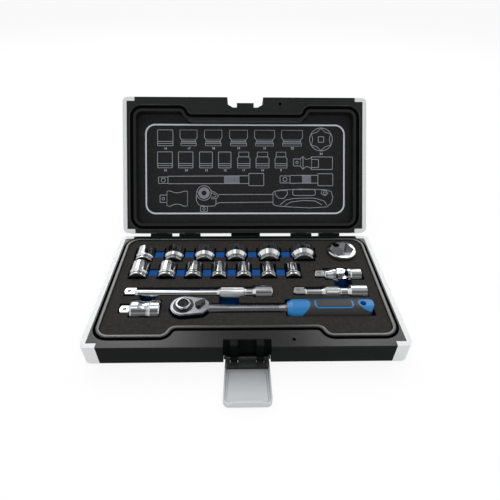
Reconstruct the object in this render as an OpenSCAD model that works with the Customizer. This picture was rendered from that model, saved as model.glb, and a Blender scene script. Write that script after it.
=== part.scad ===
// Socket wrench set in a hinged case: fourteen 3/8 inch sockets, two extensions,
// a universal joint, a step-up adapter and a reversible ratchet in a foam tray.
// The origin is the middle of the case's underside: X right, Y back, Z up.
// The case is modelled open, with the lid leaning back and the latch down.

/* [Sockets] */
// Length of the lying sockets
socket_len = 22; // [20:0.5:26]
// Height of the largest, upright socket
upright_len = 24; // [22:0.5:26]
// Depth of the square drive recess
drive_depth = 9.6; // [8:0.2:11]
// Chamfer on the outer edges of a socket
socket_chamfer = 0.8; // [0.4:0.1:1.2]
// Depth of the ring groove near the drive end
groove_depth = 0.5; // [0.3:0.1:0.8]
// From the drive end to the ring groove
groove_start = 2.6; // [2:0.1:3.4]
// Length of the collar at the drive end, with the groove in it
socket_collar = 5.6; // [5:0.1:7]

/* [Drive squares] */
// Width across flats of a male 3/8 inch drive
drive_sq = 9.4; // [9:0.1:9.6]
// Play between a male and a female square
drive_play = 0.3; // [0.2:0.05:0.5]
// Length of a male 3/8 inch drive
drive_len = 10.5; // [9:0.5:12]
// Width across flats of the adapter's 1/2 inch female square
big_sq = 12.9; // [12.7:0.1:13.2]
// Diameter of a detent ball
ball_d = 3.6; // [3:0.1:4.2]
// How far a detent ball stands out of its flat
ball_proud = 0.7; // [0.4:0.1:1]

/* [Extensions] */
// Length of the long extension
long_len = 149; // [130:1:165]
// Length of the short extension
short_len = 75; // [66:1:85]
// Diameter of an extension's shaft
shaft_d = 9.4; // [8:0.1:10]
// Diameter of the knurled band
knurl_d = 13; // [12:0.1:14]
// Diameter of the female end
female_d = 16.8; // [16:0.1:18]
// Length of the female end
female_len = 17.5; // [15:0.5:19]
// Length of the long extension's knurled band
long_knurl = 26; // [20:1:32]
// Length of the short extension's knurled band
short_knurl = 16; // [12:1:20]
// Length of the neck between the female end and the knurled band
neck_len = 10; // [8:0.5:12]

/* [Universal joint] */
// Overall length of the universal joint
joint_len = 49.5; // [48:0.5:54]
// Outer diameter of the forks
fork_d = 18.4; // [17.5:0.1:19.5]
// Distance from the male end to the pivot
joint_pivot = 28; // [26.5:0.5:29]
// Thickness of a fork arm
arm_t = 3.8; // [3.4:0.1:4]
// Diameter of the cross pins
cross_pin_d = 3.4; // [3:0.1:3.8]
// Room in the foam for the socket end to swing up
joint_swing = 2.4; // [2:0.1:4]
// Side of the cross block
cross_block = 7.6; // [7:0.1:8]

/* [Adapter] */
// Overall length of the adapter
adapter_len = 39.5; // [37:0.5:42]
// Outer diameter of the adapter
adapter_d = 22.6; // [21:0.1:24]
// Diameter of the adapter's waist
waist_d = 20.6; // [18:0.1:21.4]

/* [Ratchet] */
// Overall length of the ratchet
ratchet_len = 196; // [180:1:210]
// Radius of the round end of the head
head_r = 12.4; // [12:0.1:13.5]
// Thickness of the head
head_t = 13; // [12.4:0.1:14]
// Distance from the head's centre to the reversing lever
lever_x = 14.2; // [13.8:0.1:15]
// Number of teeth on the gear
gear_teeth = 36; // [30:1:45]
// Radius to the gear's tooth tips
gear_r = 8.6; // [8.2:0.1:9]
// Height of the gear's teeth
tooth_h = 0.8; // [0.5:0.1:1]
// Radius of the quick-release button
button_r = 5; // [4.4:0.1:5.4]
// How far the button goes down
button_travel = 1.6; // [1:0.1:2]
// Angle of the reversing lever from the shank
lever_rest = 42; // [30:1:50]
// Diameter of the shank at the handle
shank_d = 9; // [8:0.1:10]
// Length of the handle
handle_len = 83.5; // [78:0.5:90]
// Width of the handle
handle_w = 21; // [19:0.5:23]
// Thickness of the handle
handle_t = 16.4; // [15:0.2:18]
// Thickness of the sleeve round the handle's blue body
grip_t = 0.5; // [0.4:0.05:0.8]
// Diameter of the hanging hole in the handle
hang_d = 6; // [5:0.5:7]
// From the end of the handle to the middle of the hanging hole
hang_in = 10.2; // [9:0.1:12]

/* [Layout] */
// Gap between the sockets of the back row
gap_back = 10.3; // [8:0.1:14]
// Gap between the sockets of the front row
gap_front = 9.5; // [8:0.1:14]
// Gap between the back row and the upright socket
gap_upright = 13.6; // [9:0.1:16]
// Inset of the lower rows from the left and right ends of the back row
row_inset = 2.4; // [1:0.1:4]
// From the foam well's back wall to the back row
back_margin = 15.7; // [10:0.1:16]
// From the foam well's sides to the back row
side_margin = 11.05; // [9:0.1:14]
// How far the upright socket stands behind the middle of the back row
upright_shift = 2.8; // [0:0.1:6]
// Gap between the two rows of sockets
row_gap = 6.3; // [6:0.1:12]
// From the front row to the extensions' axis
bar_drop = 20.7; // [19:0.1:26]
// From the extensions' axis to the ratchet's axis
ratchet_drop = 23; // [21:0.1:27]
// From the ratchet's axis to the middle of the front rim
front_margin = 24.3; // [21:0.1:28]

/* [Case] */
// Height of the lower half, from the underside to the rim
base_h = 23; // [22:0.5:28]
// Thickness of the outer walls and of the rim plates
wall_t = 2.2; // [1.8:0.1:2.6]
// Thickness of the floor and of the lid's outer plate
floor_t = 2; // [1.6:0.1:2.6]
// Radius of the case's upright corners
corner_r = 6; // [4:0.5:9]
// Inset of the plinth step round the underside and the lid's outer face
plinth_in = 0.8; // [0.4:0.1:1.4]
// Height of the plinth step
plinth_h = 1.2; // [0.8:0.1:2]
// Width of the rim at the sides
side_rim = 10.7; // [9.5:0.1:14]
// Width of the rim at the back
back_rim = 6.7; // [6:0.1:10]
// Width of the rim at the front corners
corner_rim = 12.2; // [11:0.1:15]
// Width of the rim at the front middle
middle_rim = 22.7; // [21.5:0.1:26]
// Distance from the middle to the step in the front rim
step_x = 71.5; // [66:0.5:80]
// Radius of the two bends of the step
step_r = 8; // [7:0.5:10]
// Radius of the foam well's back corners
well_back_r = 13; // [9:0.5:18]
// Radius of the foam well's front corners
well_front_r = 12; // [9:0.5:18]
// Height of the tongue round the lower rim
tongue_h = 0.9; // [0.5:0.1:1.2]
// Width of the tongue
tongue_w = 2.8; // [2:0.1:3.2]
// Play between the tongue and ridge and their grooves
rim_play = 0.4; // [0.3:0.05:0.6]
// Thickness of the foam pad in the lid
pad_t = 10; // [6:0.5:14]
// Space between the tallest tool and the closed lid's pad
lid_gap = 3.2; // [2:0.1:6]
// Thickness of the silver end caps
cap_t = 1.6; // [1.2:0.1:1.8]
// Width of an end cap's strip on the rim
cap_strip = 4.8; // [4:0.1:5.5]
// How far an end cap wraps round the corners
cap_wrap = 14.2; // [12:0.1:18]

/* [Foam] */
// Drop of the foam's top below the rim
foam_drop = 0.6; // [0.4:0.1:1.5]
// Thickness of the upper foam layer
top_foam_t = 1.6; // [1:0.1:6]
// Clearance between the foam and a tool or the well
foam_play = 0.4; // [0.35:0.05:0.8]
// How far the axes of the back row lie below the foam's top
back_sink = 5.4; // [4:0.1:6]
// How far the axes of the front row lie below the foam's top
front_sink = 3.4; // [3:0.1:5]
// How far the bars' axes lie below the foam's top
bar_sink = 3.6; // [3:0.1:5]
// Least height of a tool above the floor
bed = 0.8; // [0.6:0.1:2]
// Width of the finger channels across the socket rows
channel_w = 11.7; // [8:0.1:13]
// How far the channels start behind the drive ends of the back row
back_channel = 5.1; // [2:0.1:7]
// How far the channels start behind the drive ends of the front row
front_channel = 2.5; // [2:0.1:7]
// Room in front of each lying socket
socket_mouth = 2.2; // [0.4:0.1:4]
// Room round the ratchet's head
head_room = 1.8; // [0:0.1:3]
// Height of the floor of the finger wells
finger_z = 9; // [4:0.5:14]

/* [Hinge and latch] */
// Angle of the open lid from closed
lid_angle = 127.4; // [110:0.1:135]
// Hinge axis behind the back wall
hinge_out = 2.8; // [2.6:0.1:3.4]
// Hinge axis below the rim
hinge_down = 0.7; // [0.5:0.1:1]
// Diameter of the hinge pins
hinge_pin_d = 2.2; // [1.8:0.1:2.6]
// Radius of the hinge knuckles
knuckle_r = 2.5; // [2.3:0.05:2.5]
// Width of one hinge
hinge_w = 25.2; // [22:0.1:30]
// Distance from the middle to the inner hinges' centres
inner_hinge_x = 67; // [60:0.5:70]
// Distance from the middle to the outer hinges' centres
outer_hinge_x = 101; // [98:0.5:110]
// Width of the lid's stop behind the base
stop_w = 35; // [25:1:45]
// Half width of the latch recess
recess_half = 21.5; // [20:0.1:24]
// Depth of the latch recess
recess_d = 8.5; // [7.5:0.1:9.5]
// Height of the latch's pin above the underside
latch_z = 4.4; // [4.2:0.1:6]
// Distance of the latch's pin behind the front face
latch_in = 1.1; // [0.8:0.1:1.5]
// Distance from the latch's pin to its outer face
latch_r = 4.1; // [3.9:0.1:4.1]
// Thickness of the latch plate
latch_t = 1.9; // [1.5:0.1:2.2]
// Angle past upright at which the latch is closed
latch_lean = 5.5; // [4:0.5:7]
// Thickness of the latch's hook
hook_t = 1.8; // [1.4:0.1:2.4]
// How far the hook stands above the latch's outer face
hook_h = 7; // [6.6:0.1:7.2]
// Half width of the hook and of the lid's catch
hook_half = 11.6; // [11:0.1:13]
// Diameter of the latch's pin
latch_pin_d = 2.4; // [2:0.1:2.8]
// Play of a turning piece on its pin or in its bore
pin_play = 0.16; // [0.04:0.02:0.2]
// Diameter of the lock hole through both rims
lock_d = 3.4; // [3:0.1:4.5]

/* [Hidden] */
$fn = 48;
LAP = 0.4;
BIG = 400;

BLACK = "#17181a";
SILVER = "#c6c9cb";
CHARCOAL = "#333230";
BLUE_FOAM = "#12509e";
CHROME = "#d9dce0";
STEEL = "#9a9ea3";
AZURE = "#3a8fd6";
GRIP_GREY = "#3f3c3a";

// Socket sizes with the outer diameters of the hex end and of the drive end
back_sizes = [16, 17, 18, 19, 21, 22];
back_hex_d = [22, 23.7, 24.7, 26, 28, 29];
back_drive_d = [20.8, 20.6, 21, 21.8, 23, 24.6];
front_sizes = [15, 14, 13, 12, 11, 10, 9];
front_hex_d = [21, 19.7, 18.3, 17, 16, 15, 13.5];
front_drive_d = [19.4, 19, 18.6, 17, 17, 17, 17];
upright_size = 24;
upright_hex_d = 32;
upright_drive_d = 24;

function total(v, n) = n <= 0 ? 0 : v[n - 1] + total(v, n - 1);
back_od = [for (i = [0:len(back_sizes) - 1]) max(back_hex_d[i], back_drive_d[i])];
front_od = [for (i = [0:len(front_sizes) - 1]) max(front_hex_d[i], front_drive_d[i])];

// Inner sizes of the ratchet's head
corner_x = 17.4;
corner_y = 7.4;
corner_in = 3;
tail_end = 24.3;
cover_t = 1.6;
chamber_top = 3;
gear_play = 0.4;
hub_r = 5.4;
pawl_r = 5.4;
ring_t = 1.2;
ring_r = 7.4;
ring_up = 3.6;
bezel_r = 9.8;
lever_stem_r = 2;
button_up = 2.4;
button_t = 2.8;

// Layout of the rows between the foam well's walls
back_row_w = total(back_od, len(back_od)) + gap_back * (len(back_od) - 1);
front_row_w = total(front_od, len(front_od)) + gap_front * (len(front_od) - 1);
bar_gap = 8;
content_w = max(
    back_row_w + gap_upright + upright_hex_d,
    front_row_w + bar_gap + joint_len + row_inset,
    long_len + short_len + bar_gap + 2 * row_inset,
    adapter_len + ratchet_len + bar_gap + 2 * row_inset);
left_x = -content_w / 2;
right_x = content_w / 2;
well_x = content_w / 2 + side_margin;
case_w = 2 * (well_x + side_rim);
case_d = back_rim + back_margin + 2 * socket_len + row_gap + bar_drop
    + ratchet_drop + front_margin + middle_rim;
well_back = case_d / 2 - back_rim;
well_corner = case_d / 2 - corner_rim;
well_middle = case_d / 2 - middle_rim;
back_row_y = well_back - back_margin - socket_len;
front_row_y = back_row_y - row_gap - socket_len;
bar_y = front_row_y - bar_drop;
ratchet_y = bar_y - ratchet_drop;

// Heights of the foam and of the tools in it
foam_z = base_h - foam_drop;
split_z = foam_z - top_foam_t;
function axis_z(r, sink) = max(foam_z - sink, floor_t + bed + r);
bar_z = axis_z(female_d / 2, bar_sink);
adapter_z = axis_z(adapter_d / 2, back_sink);
head_z = max(foam_z - bar_sink, floor_t + bed + drive_len + head_t / 2);
tallest = max(concat(
    [for (d = back_od) axis_z(d / 2, back_sink) + d / 2],
    [for (d = front_od) axis_z(d / 2, front_sink) + d / 2],
    [floor_t + bed + upright_len, head_z + head_t / 2 + ring_up]));
lid_recess = tallest - base_h + lid_gap;
lid_h = lid_recess + pad_t + floor_t;
closed_h = base_h + lid_h;

// Centres of the sockets along their rows
function row_x(v, gap, i) = left_x + total(v, i) + gap * i + v[i] / 2;
upright_x = right_x - upright_hex_d / 2;
upright_y = back_row_y + socket_len / 2 + upright_shift;

// Rim contour: o moves it outward
step_dy = middle_rim - corner_rim;
step_a = acos(1 - step_dy / (2 * step_r));
step_dx = step_r * sin(step_a);
function arc(x, y, r, a0, a1, n, skip = 0) =
    [for (i = [skip:n]) [x + r * cos(a0 + (a1 - a0) * i / n), y + r * sin(a0 + (a1 - a0) * i / n)]];
function half_contour(o) = concat(
    arc(step_x - step_dx, -well_middle - step_r, step_r - o, 90, 90 - step_a, 6),
    arc(step_x + step_dx, -well_corner + step_r, step_r + o, 270 - step_a, 270, 6, 1),
    arc(well_x - well_front_r, -well_corner + well_front_r, well_front_r + o, 270, 360, 9),
    arc(well_x - well_back_r, well_back - well_back_r, well_back_r + o, 0, 90, 9));
function mirrored(v) = [for (i = [len(v) - 1:-1:0]) [-v[i][0], v[i][1]]];
skirt_out = 0.8;
skirt_in = -1.4;
trench_in = 2.5;
trench_out = 4.5;
trench_d = 1.2;
lid_open = -5;

module contour(o, z0, z1) {
    translate([0, 0, z0])
        linear_extrude(z1 - z0)
            polygon(concat(half_contour(o), mirrored(half_contour(o))));
}

module ring(o_out, o_in, z0, z1) {
    difference() {
        contour(o_out, z0, z1);
        contour(o_in, z0 - 1, z1 + 1);
    }
}

// Block with round upright corners, inset from the case's outline
module case_block(inset, z0, z1) {
    w = case_w - 2 * inset;
    d = case_d - 2 * inset;
    r = corner_r - inset;
    translate([0, 0, z0])
        linear_extrude(z1 - z0) {
            square([w - 2 * r, d], center = true);
            square([w, d - 2 * r], center = true);
            for (x = [-1, 1], y = [-1, 1])
                translate([x * (w / 2 - r), y * (d / 2 - r)])
                    circle(r);
        }
}

module span(x0, x1, y0, y1, z0, z1) {
    translate([x0, y0, z0])
        cube([x1 - x0, y1 - y0, z1 - z0]);
}

// ---------- Case: end caps ----------
cap_rim_d = 4.9;

// Room that an end cap takes from a case half with its rim at z = h
module cap_room(side, h) {
    inner_x = case_w / 2 - cap_wrap;
    mirror([side < 0 ? 1 : 0, 0, 0]) {
        difference() {
            span(inner_x, BIG, -BIG, BIG, plinth_h, BIG);
            case_block(cap_t, -1, 2 * BIG);
        }
        span(case_w / 2 - cap_strip, BIG, -BIG, BIG, h - cap_t, BIG);
        for (s = [0, 1])
            mirror([0, s, 0])
                span(inner_x, BIG, case_d / 2 - cap_rim_d, BIG, h - cap_t, BIG);
    }
}

module both_cap_rooms(h) {
    cap_room(1, h);
    cap_room(-1, h);
}

module end_cap(side, h) {
    color(SILVER)
        intersection() {
            case_block(0, plinth_h, h);
            cap_room(side, h);
        }
}

module base_cap_left() {
    end_cap(-1, base_h);
}

module base_cap_right() {
    end_cap(1, base_h);
}

// ---------- Case: lower half ----------
front_y = -case_d / 2;
rear_y = case_d / 2;
hinge_y = rear_y + hinge_out;
hinge_z = base_h - hinge_down;
hinge_xs = [-outer_hinge_x, -inner_hinge_x, inner_hinge_x, outer_hinge_x];
leaf_w = hinge_w / 4;
leaf_root = 10;
leaf_play = 0.25;
recess_y = front_y + recess_d;
latch_y = front_y + latch_in;
pillar_x = 11.8;
pillar_w = 6.6;
pillar_front = latch_y + 1.4;
lug_r = 3.2;
lock_x = 42;
lock_y = front_y + 7.8;

// A hinge leaf: its side profile in (y, z) from the axis, w wide along X
module leaf(w, profile) {
    rotate([90, 0, 90])
        translate([0, 0, -w / 2])
            linear_extrude(w) {
                circle(knuckle_r);
                polygon(profile);
            }
}

base_leaf = [
    [-hinge_out - LAP, 0], [knuckle_r, 0], [knuckle_r, -2],
    [-hinge_out - LAP, -leaf_root],
];
lid_leaf = [
    [-hinge_out - LAP, hinge_down + leaf_play], [-knuckle_r * 0.7, 0], [knuckle_r, 0],
    [knuckle_r, 2], [-hinge_out - LAP, leaf_root],
];

module base_leaves() {
    for (x = hinge_xs, s = [-1, 1])
        translate([x + s * (hinge_w - leaf_w) / 2, hinge_y, hinge_z])
            leaf(leaf_w, base_leaf);
}

module hinge_bores(d) {
    for (x = hinge_xs)
        translate([x - hinge_w / 2 - 1, hinge_y, hinge_z])
            rotate([0, 90, 0])
                cylinder(d = d, h = hinge_w + 2);
}

// Where the open lid's rear wall stands at height z, less a small gap
stop_play = 0.15;
function lid_back_y(z) =
    let (off = hinge_out - stop_play,
         along = (z - hinge_z - off * sin(lid_angle)) / cos(lid_angle))
    hinge_y - off * cos(lid_angle) + along * sin(lid_angle);

// The open lid's rear wall comes to rest on this block
module rear_stop() {
    top_z = base_h - 1.2;
    toe_z = top_z - 7;
    rotate([90, 0, 90])
        translate([0, 0, -stop_w / 2])
            linear_extrude(stop_w)
                polygon([
                    [rear_y - LAP, toe_z - 9],
                    [rear_y - LAP, top_z],
                    [lid_back_y(top_z), top_z],
                    [lid_back_y(toe_z), toe_z],
                    [lid_back_y(toe_z), toe_z - 2.5],
                ]);
}

module latch_pillars() {
    for (s = [-1, 1])
        translate([s * pillar_x, 0, 0]) {
            span(-pillar_w / 2, pillar_w / 2, pillar_front, recess_y + LAP,
                 latch_z - lug_r, base_h - 0.2);
            translate([-pillar_w / 2, latch_y, latch_z])
                rotate([0, 90, 0])
                    cylinder(r = lug_r, h = pillar_w);
        }
}

module recess_cut(z0, z1) {
    span(-recess_half, recess_half, front_y - 1, recess_y, z0, z1);
}

module base_shell() {
    plate_z = base_h - wall_t;
    color(BLACK)
        difference() {
            union() {
                difference() {
                    union() {
                        case_block(plinth_in, 0, plinth_h);
                        case_block(0, plinth_h, plate_z);
                    }
                    difference() {
                        case_block(wall_t + cap_t, floor_t, plate_z + 1);
                        span(-recess_half - wall_t, recess_half + wall_t,
                             front_y, recess_y + wall_t, 0, base_h);
                    }
                    recess_cut(-1, base_h);
                    both_cap_rooms(base_h);
                }
                latch_pillars();
                base_leaves();
                rear_stop();
            }
            hinge_bores(hinge_pin_d);
            translate([-recess_half, latch_y, latch_z])
                rotate([0, 90, 0])
                    cylinder(d = latch_pin_d, h = 2 * recess_half);
            span(-BIG, BIG, rear_y - 1, rear_y, plate_z, base_h + 1);
            span(-pillar_x - pillar_w, pillar_x + pillar_w, front_y, recess_y + 1,
                 plate_z, base_h);
        }
}

module base_rim() {
    plate_z = base_h - wall_t;
    color(BLACK)
        difference() {
            union() {
                difference() {
                    case_block(0, plate_z, base_h);
                    contour(skirt_in, plate_z - 1, base_h + 1);
                    ring(trench_out, trench_in, base_h - trench_d, base_h + 1);
                    recess_cut(plate_z - 1, base_h + 1);
                    both_cap_rooms(base_h);
                }
                ring(skirt_out, skirt_in, floor_t, base_h);
                ring(tongue_w / 2, -tongue_w / 2, base_h - LAP, base_h + tongue_h);
                for (s = [-1, 1])
                    translate([s * pillar_x, 0, 0])
                        span(-pillar_w / 2, pillar_w / 2, pillar_front,
                             recess_y + LAP, plate_z, base_h - 0.2);
            }
            translate([lock_x, lock_y, plate_z - 1])
                cylinder(d = lock_d, h = wall_t + 2);
        }
}

module hinge_pins() {
    color(STEEL)
        for (x = hinge_xs)
            translate([x - hinge_w / 2, hinge_y, hinge_z])
                rotate([0, 90, 0])
                    cylinder(d = hinge_pin_d, h = hinge_w);
}

// ---------- Foam tray ----------
// Pocket along X or Y: round below the axis, open above it
module pocket_x(x0, x1, y, z, r) {
    translate([x0, y, z])
        rotate([0, 90, 0])
            cylinder(r = r, h = x1 - x0);
    span(x0, x1, y - r, y + r, z, base_h + 5);
}

module pocket_y(x, y0, y1, z, r) {
    translate([x, y0, z])
        rotate([-90, 0, 0])
            cylinder(r = r, h = y1 - y0);
    span(x - r, x + r, y0, y1, z, base_h + 5);
}

module well(x, y, z, r) {
    translate([x, y, z])
        cylinder(r = r, h = BIG);
}

long_x = left_x + row_inset;
short_x = right_x - row_inset - short_len;
joint_x = right_x - row_inset - joint_len;
joint_y = front_row_y + 5;
adapter_x = left_x + row_inset;
head_x = right_x - row_inset - ratchet_len + head_r;

module socket_pockets(v, hex_d, drive_d, gap, y, sink) {
    split = socket_collar - 1;
    for (i = [0:len(v) - 1]) {
        x = row_x(v, gap, i);
        z = axis_z(v[i] / 2, sink);
        pocket_y(x, y - socket_mouth, y + split, z,
                 drive_d[i] / 2 + foam_play);
        pocket_y(x, y + split - LAP, y + socket_len + foam_play, z,
                 max(hex_d[i], drive_d[i]) / 2 + foam_play);
    }
}

module bar_pocket(x, len, knurl, y) {
    f = foam_play;
    pocket_x(x - f, x + drive_len + 1, y, bar_z, drive_sq * 0.66 + f);
    pocket_x(x + drive_len, x + len, y, bar_z, shaft_d / 2 + 1 + f);
    pocket_x(x + len - female_len - neck_len - knurl - 3, x + len, y, bar_z,
             knurl_d / 2 + f);
    pocket_x(x + len - female_len - 1 - f, x + len + f, y, bar_z, female_d / 2 + f);
}

module tool_pockets() {
    f = foam_play;
    socket_pockets(back_od, back_hex_d, back_drive_d, gap_back, back_row_y, back_sink);
    socket_pockets(front_od, front_hex_d, front_drive_d, gap_front, front_row_y, front_sink);
    well(upright_x, upright_y, floor_t + bed - f, upright_hex_d / 2 + f);
    bar_pocket(long_x, long_len, long_knurl, bar_y);
    bar_pocket(short_x, short_len, short_knurl, bar_y);
    // universal joint
    pocket_x(joint_x - f, joint_x + drive_len + 1, joint_y, bar_z, drive_sq * 0.66 + f);
    pocket_x(joint_x + drive_len - 1, joint_x + joint_len + joint_swing, joint_y, bar_z,
             fork_d / 2 + f);
    // adapter
    pocket_x(adapter_x - f, adapter_x + drive_len + 1, ratchet_y, adapter_z,
             drive_sq * 0.66 + f);
    pocket_x(adapter_x + drive_len - f, adapter_x + adapter_len + f, ratchet_y,
             adapter_z, adapter_d / 2 + f);
    // ratchet: anvil, head, shank and handle
    well(head_x, ratchet_y, floor_t + bed - f, drive_sq * 0.72 + ball_proud + f);
    translate([head_x, ratchet_y, head_z - head_t / 2 - f])
        linear_extrude(BIG)
            head_outline(-f - head_room);
    pocket_x(head_x + lever_x, head_x + ratchet_len - head_r - handle_len + 1,
             ratchet_y, head_z, shank_d / 2 + 1.6 + f);
    tail_x = head_x + ratchet_len - head_r;
    span(tail_x - handle_len - 1.4 - f, tail_x + grip_t + f,
         ratchet_y - handle_w / 2 - grip_t - f, ratchet_y + handle_w / 2 + grip_t + f,
         head_z - handle_t / 2 - grip_t - f, BIG);
}

module channels(z) {
    // along the socket rows, in the charcoal layer only
    last_back = len(back_od) - 1;
    last_front = len(front_od) - 1;
    span(row_x(back_od, gap_back, 0), row_x(back_od, gap_back, last_back),
         back_row_y + back_channel, back_row_y + back_channel + channel_w, z, BIG);
    span(row_x(front_od, gap_front, 0), row_x(front_od, gap_front, last_front),
         front_row_y + front_channel, front_row_y + front_channel + channel_w, z, BIG);
}

module finger_wells(z) {
    // half-round well in front of the long extension
    well(long_x + 25, bar_y - 3.5, z, 10);
    // wells between the extensions, the ratchet and the universal joint
    knurl_well = long_x + long_len - female_len - neck_len - long_knurl + 10;
    span(knurl_well - 10, knurl_well + 10, ratchet_y, bar_y, z, BIG);
    joint_well = joint_x + joint_pivot;
    span(joint_well - 9.5, joint_well + 9.5, bar_y, joint_y, z, BIG);
}

module foam_top() {
    color(CHARCOAL)
        difference() {
            contour(skirt_in - foam_play, split_z, foam_z);
            tool_pockets();
            channels(split_z - 1);
            finger_wells(split_z - 1);
        }
}

module foam_bottom() {
    color(BLUE_FOAM)
        difference() {
            contour(skirt_in - foam_play, floor_t, split_z);
            tool_pockets();
            finger_wells(finger_z);
        }
}

// ---------- Latch ----------
// The latch in its open pose: it reaches out along -Y from its pin
tab_drop = 0.6;
hook_gap = 0.5;
hook_n = hook_h - latch_r;
latch_len = (closed_h - tab_drop + hook_gap - latch_z + hook_n * sin(latch_lean))
    / cos(latch_lean) + hook_t;
latch_root = 7;
root_half = recess_half - 1.8;
end_half = recess_half - 0.9;
flange_t = 1.3;
flange_n = 0.9;
latch_corner = 5;

// Outline of the latch plate, inset by i, in (x, distance out)
module latch_outline(i, r0) {
    corner = latch_corner - i;
    polygon(concat(
        [[-root_half + i, r0], [root_half - i, r0]],
        arc(end_half - latch_corner, latch_len - latch_corner, corner, 0, 90, 6),
        arc(-end_half + latch_corner, latch_len - latch_corner, corner, 90, 180, 6)));
}

module from_pin() {
    translate([0, latch_y, latch_z])
        mirror([0, 1, 0])
            children();
}

module latch_pin() {
    color(STEEL)
        translate([-root_half, latch_y, latch_z])
            rotate([0, 90, 0])
                cylinder(d = latch_pin_d, h = 2 * root_half);
}

module latch_bore() {
    translate([-recess_half, 0, 0])
        rotate([0, 90, 0])
            cylinder(d = latch_pin_d + pin_play, h = 2 * recess_half);
}

// Silver lever: a shallow tray with ears round the pin and a hooked end
module latch_plate() {
    color(SILVER)
        from_pin()
            difference() {
                union() {
                    translate([0, 0, -latch_r])
                        linear_extrude(latch_t)
                            latch_outline(0, latch_root);
                    difference() {
                        translate([0, 0, -latch_r])
                            linear_extrude(latch_r + flange_n)
                                latch_outline(0, 0);
                        translate([0, 0, -latch_r - 1])
                            linear_extrude(latch_r + flange_n + 2)
                                difference() {
                                    latch_outline(flange_t, -1);
                                    translate([-BIG / 2, latch_len - hook_t])
                                        square(BIG);
                                }
                    }
                    span(-hook_half, hook_half, latch_len - hook_t, latch_len,
                         -latch_r, hook_n);
                    for (s = [-1, 1])
                        translate([s * (root_half - flange_t / 2) - flange_t / 2, 0, 0])
                            rotate([0, 90, 0])
                                cylinder(r = latch_r - 0.4, h = flange_t);
                }
                latch_bore();
            }
}

// Black root: barrels on the pin between the base's lugs, and a web
module latch_link() {
    lug_half = pillar_w / 2 + leaf_play;
    inner = root_half - flange_t - 0.1;
    color(BLACK)
        from_pin()
            difference() {
                union() {
                    translate([-inner, 0, 0])
                        rotate([0, 90, 0])
                            cylinder(r = lug_r - 0.2, h = 2 * inner);
                    span(-inner, inner, 0, latch_root + 2.5, latch_t - latch_r, 0.4);
                }
                for (s = [-1, 1])
                    span(s * pillar_x - lug_half, s * pillar_x + lug_half,
                         -BIG, lug_r + 0.8, -BIG, BIG);
                latch_bore();
            }
}

// ---------- Case: lid ----------
// The lid's pieces are drawn closed and then swung open about the hinge
module swung_open() {
    translate([0, hinge_y, hinge_z])
        rotate([-lid_angle, 0, 0])
            translate([0, -hinge_y, -hinge_z])
                children();
}

// Turns a piece over, so that its rim at z = lid_h meets the lower rim
module turned_over() {
    translate([0, 0, closed_h])
        mirror([0, 0, 1])
            children();
}

notch_mid = 12.3;
notch_tab = 6.9;
notch_shoulder = 14.8;
tab_half = 10.2;

// Slanted notch in the lid's front that leaves the catch for the hook
module catch_notch(z0, z1) {
    f = front_y;
    translate([0, 0, z0])
        linear_extrude(z1 - z0)
            polygon([
                [-recess_half, f - 1], [recess_half, f - 1], [recess_half, f + recess_d],
                [notch_shoulder, f + notch_mid], [tab_half, f + notch_mid],
                [tab_half, f + notch_tab], [-tab_half, f + notch_tab],
                [-tab_half, f + notch_mid], [-notch_shoulder, f + notch_mid],
                [-recess_half, f + recess_d],
            ]);
}

module lid_cap_left() {
    swung_open() turned_over() end_cap(-1, lid_h);
}

module lid_cap_right() {
    swung_open() turned_over() end_cap(1, lid_h);
}

module lid_shell() {
    plate_z = base_h + wall_t;
    color(BLACK)
        swung_open()
            difference() {
                union() {
                    difference() {
                        union() {
                            case_block(0, plate_z, closed_h - plinth_h);
                            case_block(plinth_in, closed_h - plinth_h, closed_h);
                        }
                        difference() {
                            case_block(wall_t + cap_t, plate_z - 1, closed_h - floor_t);
                            span(-recess_half - wall_t, recess_half + wall_t, front_y,
                                 front_y + notch_mid + wall_t, base_h, closed_h);
                        }
                        turned_over() both_cap_rooms(lid_h);
                    }
                    for (x = hinge_xs)
                        translate([x, hinge_y, hinge_z])
                            leaf(hinge_w - 2 * leaf_w - 2 * leaf_play, lid_leaf);
                }
                catch_notch(base_h, closed_h + 1);
                span(-tab_half - LAP, tab_half + LAP, front_y, front_y + notch_mid + LAP,
                     closed_h - tab_drop, closed_h + 1);
                hinge_bores(hinge_pin_d + pin_play);
                span(-BIG, BIG, rear_y - 1, rear_y, base_h - 1, plate_z);
            }
}

module lid_rim() {
    plate_z = base_h + wall_t;
    color(BLACK)
        swung_open()
            difference() {
                union() {
                    difference() {
                        case_block(0, base_h, plate_z);
                        contour(lid_open, base_h - 1, plate_z + 1);
                        turned_over() both_cap_rooms(lid_h);
                    }
                    ring(lid_open + wall_t, lid_open, base_h, base_h + lid_recess);
                    ring(trench_out - rim_play, trench_in + rim_play,
                         base_h - trench_d + rim_play, base_h + LAP);
                }
                ring(tongue_w / 2 + rim_play, -tongue_w / 2 - rim_play,
                     base_h - 1, base_h + tongue_h + rim_play);
                catch_notch(base_h - 2, plate_z + 1);
                translate([lock_x, lock_y, base_h - 2])
                    cylinder(d = lock_d, h = wall_t + 4);
            }
}

module lid_pad() {
    color(CHARCOAL)
        swung_open()
            contour(lid_open + wall_t, base_h + lid_recess, closed_h - floor_t);
}

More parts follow.
